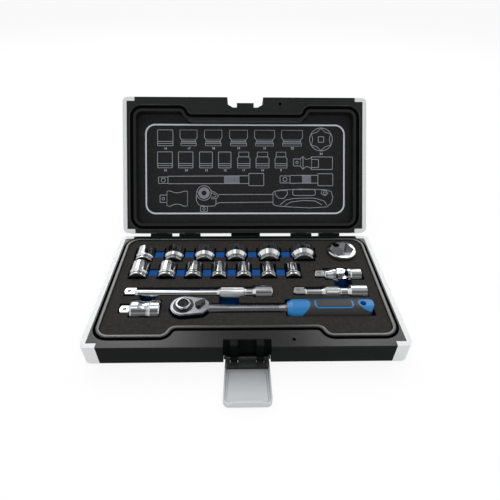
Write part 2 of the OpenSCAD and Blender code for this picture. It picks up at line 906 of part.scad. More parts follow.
// ---------- Sockets ----------
// Drive end at the bottom, hex end at the top
module socket(size, hex_d, drive_d, len) {
    c = socket_chamfer;
    rd = drive_d / 2;
    rh = hex_d / 2;
    g = groove_start;
    shoulder = max(socket_collar + 1.5, socket_collar + 2 * abs(rh - rd));
    across = size + 0.15;
    hex_depth = len - drive_depth - 2;
    color(CHROME)
        difference() {
            rotate_extrude()
                polygon([
                    [0, 0], [rd - c, 0], [rd, c], [rd, g], [rd - groove_depth, g + 0.4],
                    [rd - groove_depth, g + 1.4], [rd, g + 1.7], [rd, socket_collar],
                    [rh, shoulder], [rh, len - c], [rh - c, len], [0, len],
                ]);
            square_bore(drive_sq + drive_play, drive_depth);
            cylinder(r = min(size, drive_sq) * 0.46, h = len);
            translate([0, 0, len - hex_depth])
                cylinder(d = across / cos(30), h = hex_depth + 1, $fn = 6);
        }
}

module square_bore(side, depth) {
    translate([-side / 2, -side / 2, -1])
        cube([side, side, depth + 1]);
}

module back_socket(i) {
    translate([row_x(back_od, gap_back, i), back_row_y,
               axis_z(back_od[i] / 2, back_sink)])
        rotate([-90, 0, 0])
            socket(back_sizes[i], back_hex_d[i], back_drive_d[i], socket_len);
}

module front_socket(i) {
    translate([row_x(front_od, gap_front, i), front_row_y,
               axis_z(front_od[i] / 2, front_sink)])
        rotate([-90, 0, 0])
            socket(front_sizes[i], front_hex_d[i], front_drive_d[i], socket_len);
}

module socket_16() { back_socket(0); }
module socket_17() { back_socket(1); }
module socket_18() { back_socket(2); }
module socket_19() { back_socket(3); }
module socket_21() { back_socket(4); }
module socket_22() { back_socket(5); }
module socket_15() { front_socket(0); }
module socket_14() { front_socket(1); }
module socket_13() { front_socket(2); }
module socket_12() { front_socket(3); }
module socket_11() { front_socket(4); }
module socket_10() { front_socket(5); }
module socket_9() { front_socket(6); }

module socket_24() {
    translate([upright_x, upright_y, floor_t + bed])
        socket(upright_size, upright_hex_d, upright_drive_d, upright_len);
}

// ---------- Drive squares ----------
ball_at = drive_len * 0.48;
ball_off = drive_sq / 2 - ball_d / 2 + ball_proud;

// Male square with its free end at z = 0, rounded by a turned envelope
module drive_square(len) {
    intersection() {
        translate([-drive_sq / 2, -drive_sq / 2, 0])
            cube([drive_sq, drive_sq, len]);
        rotate_extrude()
            polygon([
                [0, 0], [drive_sq / 2 - 0.5, 0], [drive_sq * 0.66, 1.6],
                [drive_sq * 0.66, len], [0, len],
            ]);
    }
}

module ball_bore() {
    translate([-drive_sq / 2 - 1, 0, ball_at])
        rotate([0, 90, 0])
            cylinder(d = ball_d + 0.1, h = ball_d + 1);
}

module detent_ball() {
    color(STEEL)
        translate([-ball_off, 0, ball_at])
            sphere(d = ball_d);
}

// Lays a tool along X at the height of the bars, free end to the left
module lying(x, y, z) {
    translate([x, y, z])
        rotate([0, 90, 0])
            children();
}

// ---------- Extensions ----------
module extension(len, knurl) {
    s = shaft_d / 2;
    k = knurl_d / 2;
    f = female_d / 2;
    z1 = len - female_len;
    z0 = z1 - neck_len;
    color(CHROME)
        difference() {
            union() {
                drive_square(drive_len + 1);
                rotate_extrude()
                    polygon([
                        [0, drive_len], [s + 0.9, drive_len], [s + 0.9, drive_len + 1.4],
                        [s, drive_len + 3], [s, z0 - knurl - 2.5], [k - 0.6, z0 - knurl],
                        [k, z0 - knurl + 0.6], [k, z0 - 0.6], [k - 0.6, z0],
                        [k - 0.9, z0 + 1], [k - 0.9, z1 - 2.5], [f - 0.8, z1],
                        [f, z1 + 0.8], [f, len - 0.8], [f - 0.8, len], [0, len],
                    ]);
            }
            ball_bore();
            translate([0, 0, len])
                mirror([0, 0, 1])
                    square_bore(drive_sq + drive_play, drive_depth + 1.4);
        }
}

module long_extension() {
    lying(long_x, bar_y, bar_z) extension(long_len, long_knurl);
}

module long_extension_ball() {
    lying(long_x, bar_y, bar_z) detent_ball();
}

module short_extension() {
    lying(short_x, bar_y, bar_z) extension(short_len, short_knurl);
}

module short_extension_ball() {
    lying(short_x, bar_y, bar_z) detent_ball();
}

// ---------- Universal joint ----------
fork_r = fork_d / 2;
arm_gap = cross_block / 2 + 0.3;
arm_w = cross_block + 0.2;
cross_r = cross_pin_d / 2;
swing_r = fork_r - 0.6;

// Two arms that reach past the pivot at z = 0 from a hub below it
module fork() {
    intersection() {
        cylinder(r = fork_r, h = 4 * fork_r, center = true);
        rotate([90, 0, 0])
            cylinder(r = swing_r, h = 4 * fork_r, center = true);
        for (s = [0, 1])
            mirror([s, 0, 0]) {
                span(arm_gap, arm_gap + arm_t, -arm_w / 2, arm_w / 2, -BIG, 0);
                translate([arm_gap, 0, 0])
                    rotate([0, 90, 0])
                        cylinder(d = arm_w, h = arm_t);
            }
    }
}

// Round hollow in a hub that the other fork's arms swing through
module swing_scoop() {
    rotate([0, 90, 0])
        cylinder(r = swing_r + 0.3, h = 2 * arm_gap, center = true);
}

hub_back = 6.6;

module joint_drive_fork() {
    hub_z = joint_pivot - hub_back;
    color(CHROME)
        lying(joint_x, joint_y, bar_z)
            difference() {
                union() {
                    drive_square(drive_len + 1);
                    rotate_extrude()
                        polygon([
                            [0, drive_len], [6.4, drive_len], [7, drive_len + 0.6],
                            [7, drive_len + 2.6], [fork_r, hub_z - 2.5], [fork_r, hub_z],
                            [0, hub_z],
                        ]);
                    translate([0, 0, joint_pivot]) fork();
                }
                translate([0, 0, joint_pivot]) swing_scoop();
                ball_bore();
                translate([-BIG / 2, 0, joint_pivot])
                    rotate([0, 90, 0])
                        cylinder(r = cross_r, h = BIG);
            }
}

module joint_ball() {
    lying(joint_x, joint_y, bar_z) detent_ball();
}

// Cross block with a pin through each pair of arms
module joint_cross() {
    reach = arm_gap + arm_t;
    color(STEEL)
        lying(joint_x, joint_y, bar_z)
            translate([0, 0, joint_pivot]) {
                cube(cross_block, center = true);
                for (a = [0, 90])
                    rotate([0, 90, a])
                        cylinder(r = cross_r, h = 2 * reach - 0.2, center = true);
            }
}

module joint_socket_fork() {
    tail = joint_len - joint_pivot;
    color(CHROME)
        lying(joint_x, joint_y, bar_z)
            translate([0, 0, joint_pivot])
                difference() {
                    union() {
                        rotate([180, 0, 90]) fork();
                        rotate_extrude()
                            polygon([
                                [0, hub_back], [fork_r, hub_back], [fork_r, hub_back + 2.5],
                                [female_d / 2, hub_back + 4], [female_d / 2, tail - 0.8],
                                [female_d / 2 - 0.8, tail], [0, tail],
                            ]);
                    }
                    rotate([0, 0, 90]) swing_scoop();
                    translate([0, 0, tail])
                        mirror([0, 0, 1])
                            square_bore(drive_sq + drive_play, drive_depth + 1);
                    translate([0, BIG / 2, 0])
                        rotate([90, 0, 0])
                            cylinder(r = cross_r + pin_play / 2, h = BIG);
                }
}

// ---------- Adapter ----------
module adapter() {
    a = adapter_d / 2;
    w = waist_d / 2;
    z0 = drive_len;
    mid = (z0 + adapter_len) / 2;
    color(CHROME)
        lying(adapter_x, ratchet_y, adapter_z)
            difference() {
                union() {
                    drive_square(z0 + 1);
                    rotate_extrude()
                        polygon(concat(
                            [[0, z0], [a - 1.6, z0], [a - 0.4, z0 + 1.4], [a, z0 + 2.8],
                             [a, mid - 6]],
                            [for (t = [-4:2:4]) [w + (a - w) * t * t / 36, mid + t]],
                            [[a, mid + 6], [a, adapter_len - 0.9],
                             [a - 0.9, adapter_len], [0, adapter_len]]));
                }
                ball_bore();
                translate([0, 0, adapter_len])
                    mirror([0, 0, 1])
                        square_bore(big_sq, 15);
            }
}

module adapter_ball() {
    lying(adapter_x, ratchet_y, adapter_z) detent_ball();
}

// ---------- Ratchet ----------
// Local frame: origin at the head's centre, X along the handle, button up
stem_r = ball_off - ball_d / 2 - 0.1;
handle_x = ratchet_len - head_r - handle_len;
handle_end = ratchet_len - head_r;

module in_ratchet() {
    translate([head_x, ratchet_y, head_z])
        children();
}

// Outline of the head, inset by i: a round end, two corners and a tail
module head_outline(i) {
    r1 = head_r - i;
    r2 = corner_in - i;
    a = atan2(corner_y, corner_x) + acos((r1 - r2) / norm([corner_x, corner_y]));
    tail = corner_y + sqrt(2) * r2 - (tail_end - i - corner_x);
    polygon(concat(
        arc(corner_x, -corner_y, r2, -a, -45, 6),
        [[tail_end - i, -tail], [tail_end - i, tail]],
        arc(corner_x, corner_y, r2, 45, a, 6),
        arc(0, 0, r1, a, 360 - a, 36, 1)));
}

module head_block(i, z0, z1) {
    translate([0, 0, z0])
        linear_extrude(z1 - z0)
            head_outline(i);
}

module along_x() {
    rotate([0, 90, 0])
        rotate_extrude()
            children();
}

module ratchet_head() {
    h = head_t / 2;
    neck_x = tail_end;
    sr = shank_d / 2;
    color(CHROME)
        in_ratchet()
            difference() {
                union() {
                    head_block(0, -h + 0.8, h - 0.8);
                    head_block(0.8, -h, h);
                    along_x()
                        polygon([
                            [0, lever_x], [h - 0.6, lever_x], [h - 0.6, neck_x - 2],
                            [sr + 0.9, neck_x + 6], [sr, neck_x + 20], [sr, handle_x - 8],
                            [sr + 1, handle_x - 2], [sr + 1, handle_x + 1.5],
                            [sr, handle_x + 3], [sr, handle_x + 14], [0, handle_x + 14],
                        ]);
                }
                translate([0, 0, -h - 1])
                    cylinder(r = gear_r + gear_play, h = h + 1 + chamber_top);
                translate([lever_x, 0, -h - 1])
                    cylinder(r = pawl_r + gear_play, h = h + 1 + chamber_top);
                head_block(1.8, -h - 1, -h + cover_t);
                translate([0, 0, chamber_top - 1])
                    cylinder(r = hub_r + pin_play / 2, h = BIG);
                translate([0, 0, h - ring_t])
                    cylinder(r = bezel_r + 0.1, h = BIG);
                translate([lever_x, 0, 0])
                    cylinder(r = lever_stem_r + pin_play / 2, h = BIG);
            }
}

module ratchet_cover() {
    h = head_t / 2;
    color(CHROME)
        in_ratchet()
            difference() {
                head_block(1.9, -h, -h + cover_t);
                translate([0, 0, -h - 1])
                    cylinder(r = gear_r - 1, h = cover_t + 2);
            }
}

// Black washer round the speed ring
module ratchet_bezel() {
    h = head_t / 2;
    color(BLACK)
        in_ratchet()
            rotate_extrude()
                polygon([
                    [ring_r + 0.1, h - ring_t], [bezel_r, h - ring_t], [bezel_r, h - 0.1],
                    [bezel_r - 0.5, h + 0.3], [ring_r + 0.1, h + 0.3],
                ]);
}

// Speed ring that stands proud of the head, round the button
module ratchet_ring() {
    h = head_t / 2;
    top = h + ring_up;
    bore = button_r + 0.25;
    color(STEEL)
        in_ratchet()
            rotate_extrude()
                polygon([
                    [bore, h - ring_t], [ring_r, h - ring_t], [ring_r, top - 1.1],
                    [ring_r - 0.3, top - 0.4], [ring_r - 0.9, top], [bore + 0.5, top],
                    [bore, top - 0.5],
                ]);
}

// Toothed outline whose tips lie at radius r
module tooth_outline(r) {
    polygon([
        for (i = [0:gear_teeth - 1], k = [0, 1])
            let (a = (i + k / 2) * 360 / gear_teeth)
            (r - k * tooth_h) * [cos(a), sin(a)]
    ]);
}

// Gear, hub and square anvil, turning in the head
module ratchet_gear() {
    h = head_t / 2;
    gap = 0.25;
    color(STEEL)
        in_ratchet()
            difference() {
                union() {
                    translate([0, 0, -h + cover_t + gap])
                        linear_extrude(h - cover_t - gap + chamber_top - gap)
                            tooth_outline(gear_r);
                    translate([0, 0, -h - 0.4])
                        cylinder(r = gear_r - 1.25, h = h);
                    cylinder(r = hub_r, h = chamber_top + 0.6);
                    translate([0, 0, -h - 0.4 - drive_len])
                        drive_square(drive_len + 1);
                }
                translate([0, 0, -BIG / 2])
                    cylinder(r = stem_r + pin_play / 2, h = BIG);
                translate([0, 0, -h - 0.4 - drive_len])
                    ball_bore();
            }
}

module ratchet_anvil_ball() {
    in_ratchet()
        translate([0, 0, -head_t / 2 - 0.4 - drive_len])
            detent_ball();
}

module ratchet_pawl() {
    h = head_t / 2;
    gap = 0.25;
    color(STEEL)
        in_ratchet()
            translate([0, 0, -h + cover_t + gap])
                difference() {
                    translate([lever_x, 0, 0])
                        cylinder(r = pawl_r, h = h - cover_t + chamber_top - 2 * gap);
                    translate([0, 0, -1])
                        linear_extrude(head_t)
                            tooth_outline(gear_r + tooth_h + 0.15);
                    translate([lever_x, 0, -1])
                        cylinder(r = lever_stem_r + 0.4, h = head_t);
                }
}

module ratchet_lever() {
    h = head_t / 2;
    thumb = 2.6;
    color(BLACK)
        in_ratchet()
            translate([lever_x, 0, 0])
                rotate([0, 0, lever_rest]) {
                    translate([0, 0, -h + cover_t + 0.5])
                        cylinder(r = lever_stem_r, h = head_t - cover_t + LAP);
                    translate([0, 0, h + 0.2])
                        linear_extrude(thumb) {
                            circle(3);
                            polygon([[0, -2.99], [7.4, -1.5], [8.2, 0], [7.4, 1.5], [0, 2.99]]);
                        }
                }
}

module ratchet_button() {
    h = head_t / 2;
    color(STEEL)
        in_ratchet() {
            translate([0, 0, h + button_up - button_t])
                rotate_extrude()
                    polygon([
                        [0, 0], [button_r, 0], [button_r, button_t - 0.7],
                        [button_r - 0.7, button_t], [2.6, button_t], [0, button_t - 0.7],
                    ]);
            translate([0, 0, -h - drive_len + 1.5])
                cylinder(r = stem_r, h = h + drive_len - 1.5 + h + button_up - button_t + 0.5);
        }
}

// Bar along X with an oval section: w across and t thick
module oval_bar(x0, x1, w, t) {
    for (s = [-1, 1])
        translate([x0, s * (w - t) / 2, 0])
            rotate([0, 90, 0])
                cylinder(d = t, h = x1 - x0);
    span(x0, x1, (t - w) / 2, (w - t) / 2, -t / 2, t / 2);
}

handle_play = 0.06;
label_len = 38;
label_w = 12.5;
label_frame = 2;
label_x = handle_x + 26;

// Block of the handle from x0, grown by grow, with an end that is round in plan
module handle_block(x0, grow) {
    w = handle_w;
    r = w / 2 + 0.5;
    intersection() {
        oval_bar(x0, handle_end + grow + 1, w + 2 * grow, handle_t + 2 * grow);
        union() {
            translate([handle_end - r, 0, -w])
                cylinder(r = r + grow, h = 2 * w);
            span(x0 - 1, handle_end - r, -w, w, -w, w);
        }
    }
}

// Upright oval post centred at (x, 0)
module oval_post(x, rx, ry) {
    translate([x, 0, -BIG / 2])
        linear_extrude(BIG)
            polygon([for (a = [0:6:354]) [rx * cos(a), ry * sin(a)]]);
}

module label_shape(inset) {
    r = 4.2 - inset;
    x = label_len / 2 - inset - r;
    y = label_w / 2 - inset - r;
    translate([label_x + label_len / 2, 0])
        polygon(concat(arc(x, y, r, 0, 90, 6), arc(-x, y, r, 90, 180, 6),
                       arc(-x, -y, r, 180, 270, 6), arc(x, -y, r, 270, 360, 6)));
}

// Blue body of the handle, with the hole in its end
module handle_core() {
    w = handle_w;
    t = handle_t;
    color(AZURE)
        in_ratchet()
            difference() {
                union() {
                    hull() {
                        oval_bar(handle_x, handle_x + 1, w - 6, t - 4, $fn = 32);
                        oval_bar(handle_x + 5, handle_x + 6, w, t, $fn = 32);
                    }
                    handle_block(handle_x + 6 - LAP, 0);
                }
                translate([handle_x - 1, 0, 0])
                    rotate([0, 90, 0])
                        cylinder(d = shank_d + 2 + handle_play, h = 1 + 3.1);
                translate([handle_x, 0, 0])
                    rotate([0, 90, 0])
                        cylinder(d = shank_d + handle_play, h = 14);
                translate([handle_end - hang_in, 0, -w])
                    cylinder(d = hang_d, h = 2 * w);
            }
}

// Dark sleeve moulded over the blue body, open at the collar, the label frame
// and the holed end
module handle_grip() {
    color(GRIP_GREY)
        in_ratchet()
            difference() {
                handle_block(handle_x + 8, grip_t);
                handle_block(handle_x + 7, 0);
                oval_post(handle_x + 9, 13.2, handle_w / 2 + 1);
                oval_post(handle_end - 1, 14.2, handle_w / 2 - 1.3);
                linear_extrude(BIG)
                    difference() {
                        label_shape(0);
                        label_shape(label_frame);
                    }
            }
}

base_shell();
base_rim();
base_cap_left();
base_cap_right();
hinge_pins();
foam_top();
foam_bottom();
latch_pin();
latch_link();
latch_plate();
lid_shell();
lid_rim();
lid_cap_left();
lid_cap_right();
lid_pad();
socket_9();
socket_10();
socket_11();
socket_12();
socket_13();
socket_14();
socket_15();
socket_16();
socket_17();
socket_18();
socket_19();
socket_21();
socket_22();
socket_24();
long_extension();
long_extension_ball();
short_extension();
short_extension_ball();
joint_drive_fork();
joint_ball();
joint_cross();
joint_socket_fork();
adapter();
adapter_ball();
ratchet_head();
ratchet_cover();
ratchet_bezel();
ratchet_ring();
ratchet_gear();
ratchet_anvil_ball();
ratchet_pawl();
ratchet_lever();
ratchet_button();
handle_core();
handle_grip();
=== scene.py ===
"""Socket wrench set in its open case: finishes, knurling, stamped sizes, foam
grain and the printed layout on the lid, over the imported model."""

import math

import bmesh
import bpy
from mathutils import Matrix, Vector


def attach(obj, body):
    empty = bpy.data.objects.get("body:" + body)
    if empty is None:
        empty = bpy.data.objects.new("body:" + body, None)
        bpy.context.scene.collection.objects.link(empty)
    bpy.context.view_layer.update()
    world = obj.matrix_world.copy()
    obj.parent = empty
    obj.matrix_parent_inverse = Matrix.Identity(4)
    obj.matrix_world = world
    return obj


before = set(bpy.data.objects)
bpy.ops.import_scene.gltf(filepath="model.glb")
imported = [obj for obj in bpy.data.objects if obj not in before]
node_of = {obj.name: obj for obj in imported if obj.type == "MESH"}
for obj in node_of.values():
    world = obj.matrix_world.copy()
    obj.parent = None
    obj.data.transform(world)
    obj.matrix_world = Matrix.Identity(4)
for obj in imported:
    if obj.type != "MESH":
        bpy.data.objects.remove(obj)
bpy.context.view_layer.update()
MM = 0.001


# ---------- Colours and nodes ----------
def srgb(hex_value, alpha=1.0):
    """A colour written as sRGB hex, turned to the linear values Blender uses."""
    channels = [int(hex_value[i:i + 2], 16) / 255 for i in (1, 3, 5)]
    linear = [c / 12.92 if c <= 0.04045 else ((c + 0.055) / 1.055) ** 2.4 for c in channels]
    return (*linear, alpha)


def add(tree, kind, links=None, values=None, **settings):
    """One node in a tree, with its settings, socket values and incoming links."""
    node = tree.nodes.new(kind)
    for name, setting in settings.items():
        setattr(node, name, setting)
    for socket, value in (values or {}).items():
        node.inputs[socket].default_value = value
    for socket, source in (links or {}).items():
        tree.links.new(source, node.inputs[socket])
    return node


def grey_steps(ramp, steps):
    """Gives a colour ramp its greys, each a place from 0 to 1 and a level there."""
    for place, level in steps[2:]:
        ramp.elements.new(place)
    for stop, (place, level) in zip(ramp.elements, steps):
        stop.position = place
        stop.color = (level, level, level, 1)


# ---------- Finishes ----------
def new_material(name):
    material = bpy.data.materials.new(name)
    material.use_nodes = True
    material.node_tree.nodes.clear()
    return material, material.node_tree


def patterned(tree, cell_mm, detail, breakup, colours=None, gloss=None, relief_mm=None):
    """One fine pattern of a surface, with cells about cell_mm across. It can mix two
    colours, run the roughness between the two values of gloss, and raise the skin by
    relief_mm. Gives back what it feeds, by the name of the shader's socket."""
    place = add(tree, "ShaderNodeTexCoord")
    noise = add(tree, "ShaderNodeTexNoise", {"Vector": place.outputs["Object"]},
                {"Scale": 1 / (cell_mm * MM), "Detail": detail, "Roughness": breakup})
    cells = noise.outputs["Fac"]
    fed = {}
    if colours:
        mix = add(tree, "ShaderNodeMix", {0: cells},
                  {6: srgb(colours[0]), 7: srgb(colours[1])}, data_type="RGBA")
        fed["Base Color"] = mix.outputs[2]
    if gloss:
        spread = add(tree, "ShaderNodeMapRange", {"Value": cells},
                     {"From Min": 0.3, "From Max": 0.7, "To Min": gloss[0], "To Max": gloss[1]})
        fed["Roughness"] = spread.outputs["Result"]
    if relief_mm:
        relief = add(tree, "ShaderNodeBump", {"Height": cells},
                     {"Distance": relief_mm * MM, "Strength": 1.0})
        fed["Normal"] = relief.outputs["Normal"]
    return fed


def finish_surface(tree, fed, values):
    shader = add(tree, "ShaderNodeBsdfPrincipled", fed, values)
    add(tree, "ShaderNodeOutputMaterial", {"Surface": shader.outputs["BSDF"]})


def moulded_abs(name, dark, light, roughness, shine, shaded_below=0.0):
    """Injection-moulded ABS from a spark-eroded tool: a low sheen, broken up by fine pits of
    about 0.4 mm, drawn at 0.7 mm so that they show. Below a given height, in mm, the piece is
    matt and its colour falls to a quarter: painted shade."""
    material, tree = new_material(name)
    fed = patterned(tree, 0.7, 3.0, 0.6, gloss=(roughness - 0.05, roughness + 0.07),
                    relief_mm=0.05)
    fed |= patterned(tree, 24, 2.0, 0.5, colours=(dark, light))
    place = add(tree, "ShaderNodeTexCoord")
    height = add(tree, "ShaderNodeSeparateXYZ", {"Vector": place.outputs["Object"]})
    low = add(tree, "ShaderNodeMath", {0: height.outputs["Z"]}, {1: shaded_below * MM},
              operation="LESS_THAN")
    dull = add(tree, "ShaderNodeMath", {0: low.outputs[0], 1: fed["Roughness"]},
               operation="MAXIMUM")
    # Painted shade: below that height the colour falls to a quarter
    painted_shade = add(tree, "ShaderNodeMapRange", {"Value": low.outputs[0]},
                    {"To Min": 1.0, "To Max": 0.25})
    colour = add(tree, "ShaderNodeVectorMath",
                 {0: fed["Base Color"], "Scale": painted_shade.outputs["Result"]},
                 operation="SCALE")
    fed |= {"Base Color": colour.outputs[0], "Roughness": dull.outputs[0]}
    finish_surface(tree, fed, {"IOR": 1.54, "Specular IOR Level": shine})
    return material


# Painted shade on a lever: the share of its colour that is left, from its free end (0) to its
# root (1)
ROOT_SHADE = ((0.0, 1.0), (0.66, 0.62), (0.74, 0.5), (0.77, 0.1), (1.0, 0.05))


def painted_abs(name, dark, light, flake, shaded_at=None):
    """Silver lacquer with fine aluminium flake over ABS: part metal, part paint, with a soft
    wide highlight. Between two given places along Y, in mm, the colour darkens towards a
    lever's root: painted shade."""
    material, tree = new_material(name)
    fed = patterned(tree, 0.6, 2.0, 0.7, (dark, light), (0.4, 0.5), 0.015)
    # Painted shade: the colour darkens towards a lever's root
    if shaded_at:
        place = add(tree, "ShaderNodeTexCoord")
        along = add(tree, "ShaderNodeSeparateXYZ", {"Vector": place.outputs["Object"]})
        share = add(tree, "ShaderNodeMapRange", {"Value": along.outputs["Y"]},
                    {"From Min": shaded_at[0] * MM, "From Max": shaded_at[1] * MM})
        shade_ramp = add(tree, "ShaderNodeValToRGB", {"Fac": share.outputs["Result"]})
        grey_steps(shade_ramp.color_ramp, ROOT_SHADE)
        shaded = add(tree, "ShaderNodeVectorMath",
                      {0: fed["Base Color"], 1: shade_ramp.outputs["Color"]},
                      operation="MULTIPLY")
        fed["Base Color"] = shaded.outputs[0]
    finish_surface(tree, fed, {"Metallic": flake, "IOR": 1.5, "Coat Weight": 0.15,
                               "Coat Roughness": 0.25})
    return material


def eva_foam(name, dark, light, cell_mm, cut=0.5):
    """Closed-cell EVA foam, cut by water jet: matt, with open cell walls about 0.5 mm across on
    its skin, drawn as coarse as cell_mm so that they show. Faces that don't face up keep only
    the share cut of the colour: painted shade on the pockets' walls."""
    material, tree = new_material(name)
    fed = patterned(tree, cell_mm * 1.6, 4.0, 0.7, colours=(dark, light))
    place = add(tree, "ShaderNodeTexCoord")
    cells = add(tree, "ShaderNodeTexVoronoi", {"Vector": place.outputs["Object"]},
                {"Scale": 1 / (cell_mm * MM), "Randomness": 1.0})
    walls = add(tree, "ShaderNodeBump", {"Height": cells.outputs["Distance"]},
                {"Distance": 0.12 * MM, "Strength": 0.7})
    facing = add(tree, "ShaderNodeNewGeometry")
    level = add(tree, "ShaderNodeSeparateXYZ", {"Vector": facing.outputs["True Normal"]})
    skin = add(tree, "ShaderNodeMath", {0: level.outputs["Z"]}, {1: 0.35},
               operation="GREATER_THAN")
    # Painted shade: faces that don't face up keep only a share of the colour
    shade = add(tree, "ShaderNodeMapRange", {"Value": skin.outputs[0]}, {"To Min": cut})
    colour = add(tree, "ShaderNodeVectorMath",
                 {0: fed["Base Color"], "Scale": shade.outputs["Result"]},
                 operation="SCALE")
    finish_surface(tree, {"Base Color": colour.outputs[0], "Normal": walls.outputs["Normal"]},
                   {"Roughness": 0.88, "IOR": 1.45, "Specular IOR Level": 0.3})
    return material


def chrome_plate(name, colour, roughness):
    """Bright chrome over polished steel: a mirror with faint polishing haze and
    a slow waviness of about 9 mm left by the wheel."""
    material, tree = new_material(name)
    fed = patterned(tree, 5, 3.0, 0.6, gloss=(roughness, roughness + 0.08))
    fed |= patterned(tree, 9, 1.0, 0.5, relief_mm=0.05)
    finish_surface(tree, fed, {"Base Color": srgb(colour), "Metallic": 1.0})
    return material


def turned_steel(name, colour, roughness):
    """Bare machined steel: satin, with tool marks about 0.3 mm apart, drawn at
    0.4 mm so that they show."""
    material, tree = new_material(name)
    fed = patterned(tree, 0.4, 2.0, 0.6, gloss=(roughness - 0.06, roughness + 0.08),
                    relief_mm=0.01)
    finish_surface(tree, fed, {"Base Color": srgb(colour), "Metallic": 1.0})
    return material


def moulded_grip(name, dark, light, roughness, pit_mm):
    """Handle plastics: polypropylene for the azure parts, soft TPR rubber for the
    grip, both with a fine moulded texture."""
    material, tree = new_material(name)
    fed = patterned(tree, pit_mm, 2.0, 0.6, (dark, light),
                    (roughness - 0.05, roughness + 0.06), 0.05)
    finish_surface(tree, fed, {"IOR": 1.5})
    return material


def screen_ink(name, dark, light):
    """Screen-printed ink on foam: thin, matt and slightly broken by the cells."""
    material, tree = new_material(name)
    fed = patterned(tree, 0.8, 3.0, 0.7, colours=(dark, light))
    finish_surface(tree, fed, {"Roughness": 0.6, "IOR": 1.45})
    return material


BLACK_ABS = moulded_abs("black ABS, spark textured", "#090b0a", "#0e100f", 0.5, 0.05)
# The rim is darkened below 22.9 mm, under its top face: painted shade in its trench and on its
# sides
RIM_ABS = moulded_abs("black ABS, satin rim", "#0b0c0c", "#111212", 0.22, 0.4, 22.9)
# The bead's black is lighter than the rim's: a painted highlight along its crest
LIT_BEAD_ABS = moulded_abs("black ABS, satin bead, painted highlight", "#1d1e1f", "#262728", 0.22, 0.8)
# The lip's black is lighter than the rim's: a painted highlight, besides its real polish
LIT_LIP_ABS = moulded_abs("black ABS, polished lip, painted highlight", "#3a3b3b", "#444545", 0.16, 1.0)
# The lid rim's black is lighter than the case's: painted light, a lit copy of the same ABS
LIT_LID_ABS = moulded_abs("black ABS, lid rim, painted light", "#181919", "#222323", 0.34, 0.3)
HINGE_ABS = moulded_abs("black ABS, smooth", "#121314", "#18191a", 0.27, 0.4)
SILVER_LACQUER = painted_abs("silver lacquer on ABS", "#d6d8d9", "#e3e5e6", 0.12)
# The latch's colour darkens towards its root, between these places along Y: painted shade
LATCH_LACQUER = painted_abs("silver lacquer, latch", "#bcc0c2", "#cdd1d3", 0.5,
                            (-122, -80))
# Both foams darken the faces that don't face up, the blue one to 0.12 of its colour: painted
# shade on the pockets' walls
CHARCOAL_FOAM = eva_foam("charcoal EVA foam", "#0a0a09", "#3a3836", 1.9)
LID_FOAM = eva_foam("charcoal EVA foam, lid", "#0d0d0e", "#2c2c2e", 1.9)
BLUE_FOAM = eva_foam("blue EVA foam", "#0a3f80", "#0f5299", 0.8, 0.12)
CHROME = chrome_plate("polished chrome", "#c3c5c6", 0.05)
SATIN_CHROME = chrome_plate("satin chrome", "#94979b", 0.2)
STEEL = turned_steel("machined steel", "#96999c", 0.34)
# On the knurls in the sockets' grooves this dark steel is painted shade; on the ratchet's
# button it is the part's own colour
DARK_STEEL = turned_steel("blackened steel and painted groove shade", "#2b2c2e", 0.38)
AZURE_PP = moulded_grip("azure polypropylene", "#156aa8", "#2179b8", 0.34, 1.0)
GREY_TPR = moulded_grip("dark grey TPR rubber", "#232323", "#302f2e", 0.48, 0.8)
PRINT_INK = screen_ink("pale print ink", "#bfc4cc", "#dbdfe5")
LINE_INK = screen_ink("grey print ink", "#8f939b", "#adb1b9")
SHADE_INK = screen_ink("dim print ink", "#54565c", "#6e7077")
BAND_INK = screen_ink("grey print ink, solid", "#868b95", "#a0a5af")
# Near-black and rough: painted shade for the rims' grooves, the latch pin and the recess's sill
PAINTED_SHADE_ABS = moulded_abs("black ABS, rough, painted shade", "#030303", "#060606", 0.9, 0.03)
STAMP_DARK = screen_ink("stamped size, darkened", "#2c2d2f", "#3c3d40")

# The latch pin takes the near-black painted shade
FINISH_OF = {
    "base_shell": BLACK_ABS, "base_rim": RIM_ABS, "lid_shell": BLACK_ABS,
    "lid_rim": LIT_LID_ABS, "base_cap_left": SILVER_LACQUER,
    "base_cap_right": SILVER_LACQUER, "lid_cap_left": SILVER_LACQUER,
    "lid_cap_right": SILVER_LACQUER, "hinge_pins": STEEL, "latch_pin": PAINTED_SHADE_ABS,
    "foam_top": CHARCOAL_FOAM, "foam_bottom": BLUE_FOAM, "lid_pad": LID_FOAM,
    "latch_plate": LATCH_LACQUER, "latch_link": HINGE_ABS,
    "long_extension_ball": STEEL, "short_extension_ball": STEEL,
    "joint_ball": STEEL, "joint_cross": STEEL, "adapter_ball": STEEL,
    "ratchet_head": SATIN_CHROME, "ratchet_cover": SATIN_CHROME,
    "ratchet_bezel": HINGE_ABS, "ratchet_ring": CHROME, "ratchet_gear": STEEL,
    "ratchet_anvil_ball": STEEL, "ratchet_pawl": STEEL, "ratchet_lever": HINGE_ABS,
    "ratchet_button": DARK_STEEL, "handle_core": AZURE_PP, "handle_grip": GREY_TPR,
}
# Every other node is a bare tool of polished chrome
for name, node in node_of.items():
    node.data.materials.clear()
    node.data.materials.append(FINISH_OF.get(name, CHROME))


# ---------- Building helpers ----------
def placed(name, data):
    """A new object in the scene, at the origin."""
    item = bpy.data.objects.new(name, data)
    bpy.context.scene.collection.objects.link(item)
    return item


def object_from(mesh, name, body, material):
    """A piece of one material that moves with a body; its mesh is already in place."""
    piece = placed(name, mesh)
    mesh.materials.clear()
    mesh.materials.append(material)
    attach(piece, body)


def mesh_from(shape, name):
    """The mesh of a bmesh, with its faces turned outwards; the bmesh is freed."""
    bmesh.ops.recalc_face_normals(shape, faces=shape.faces)
    mesh = bpy.data.meshes.new(name)
    shape.to_mesh(mesh)
    shape.free()
    return mesh


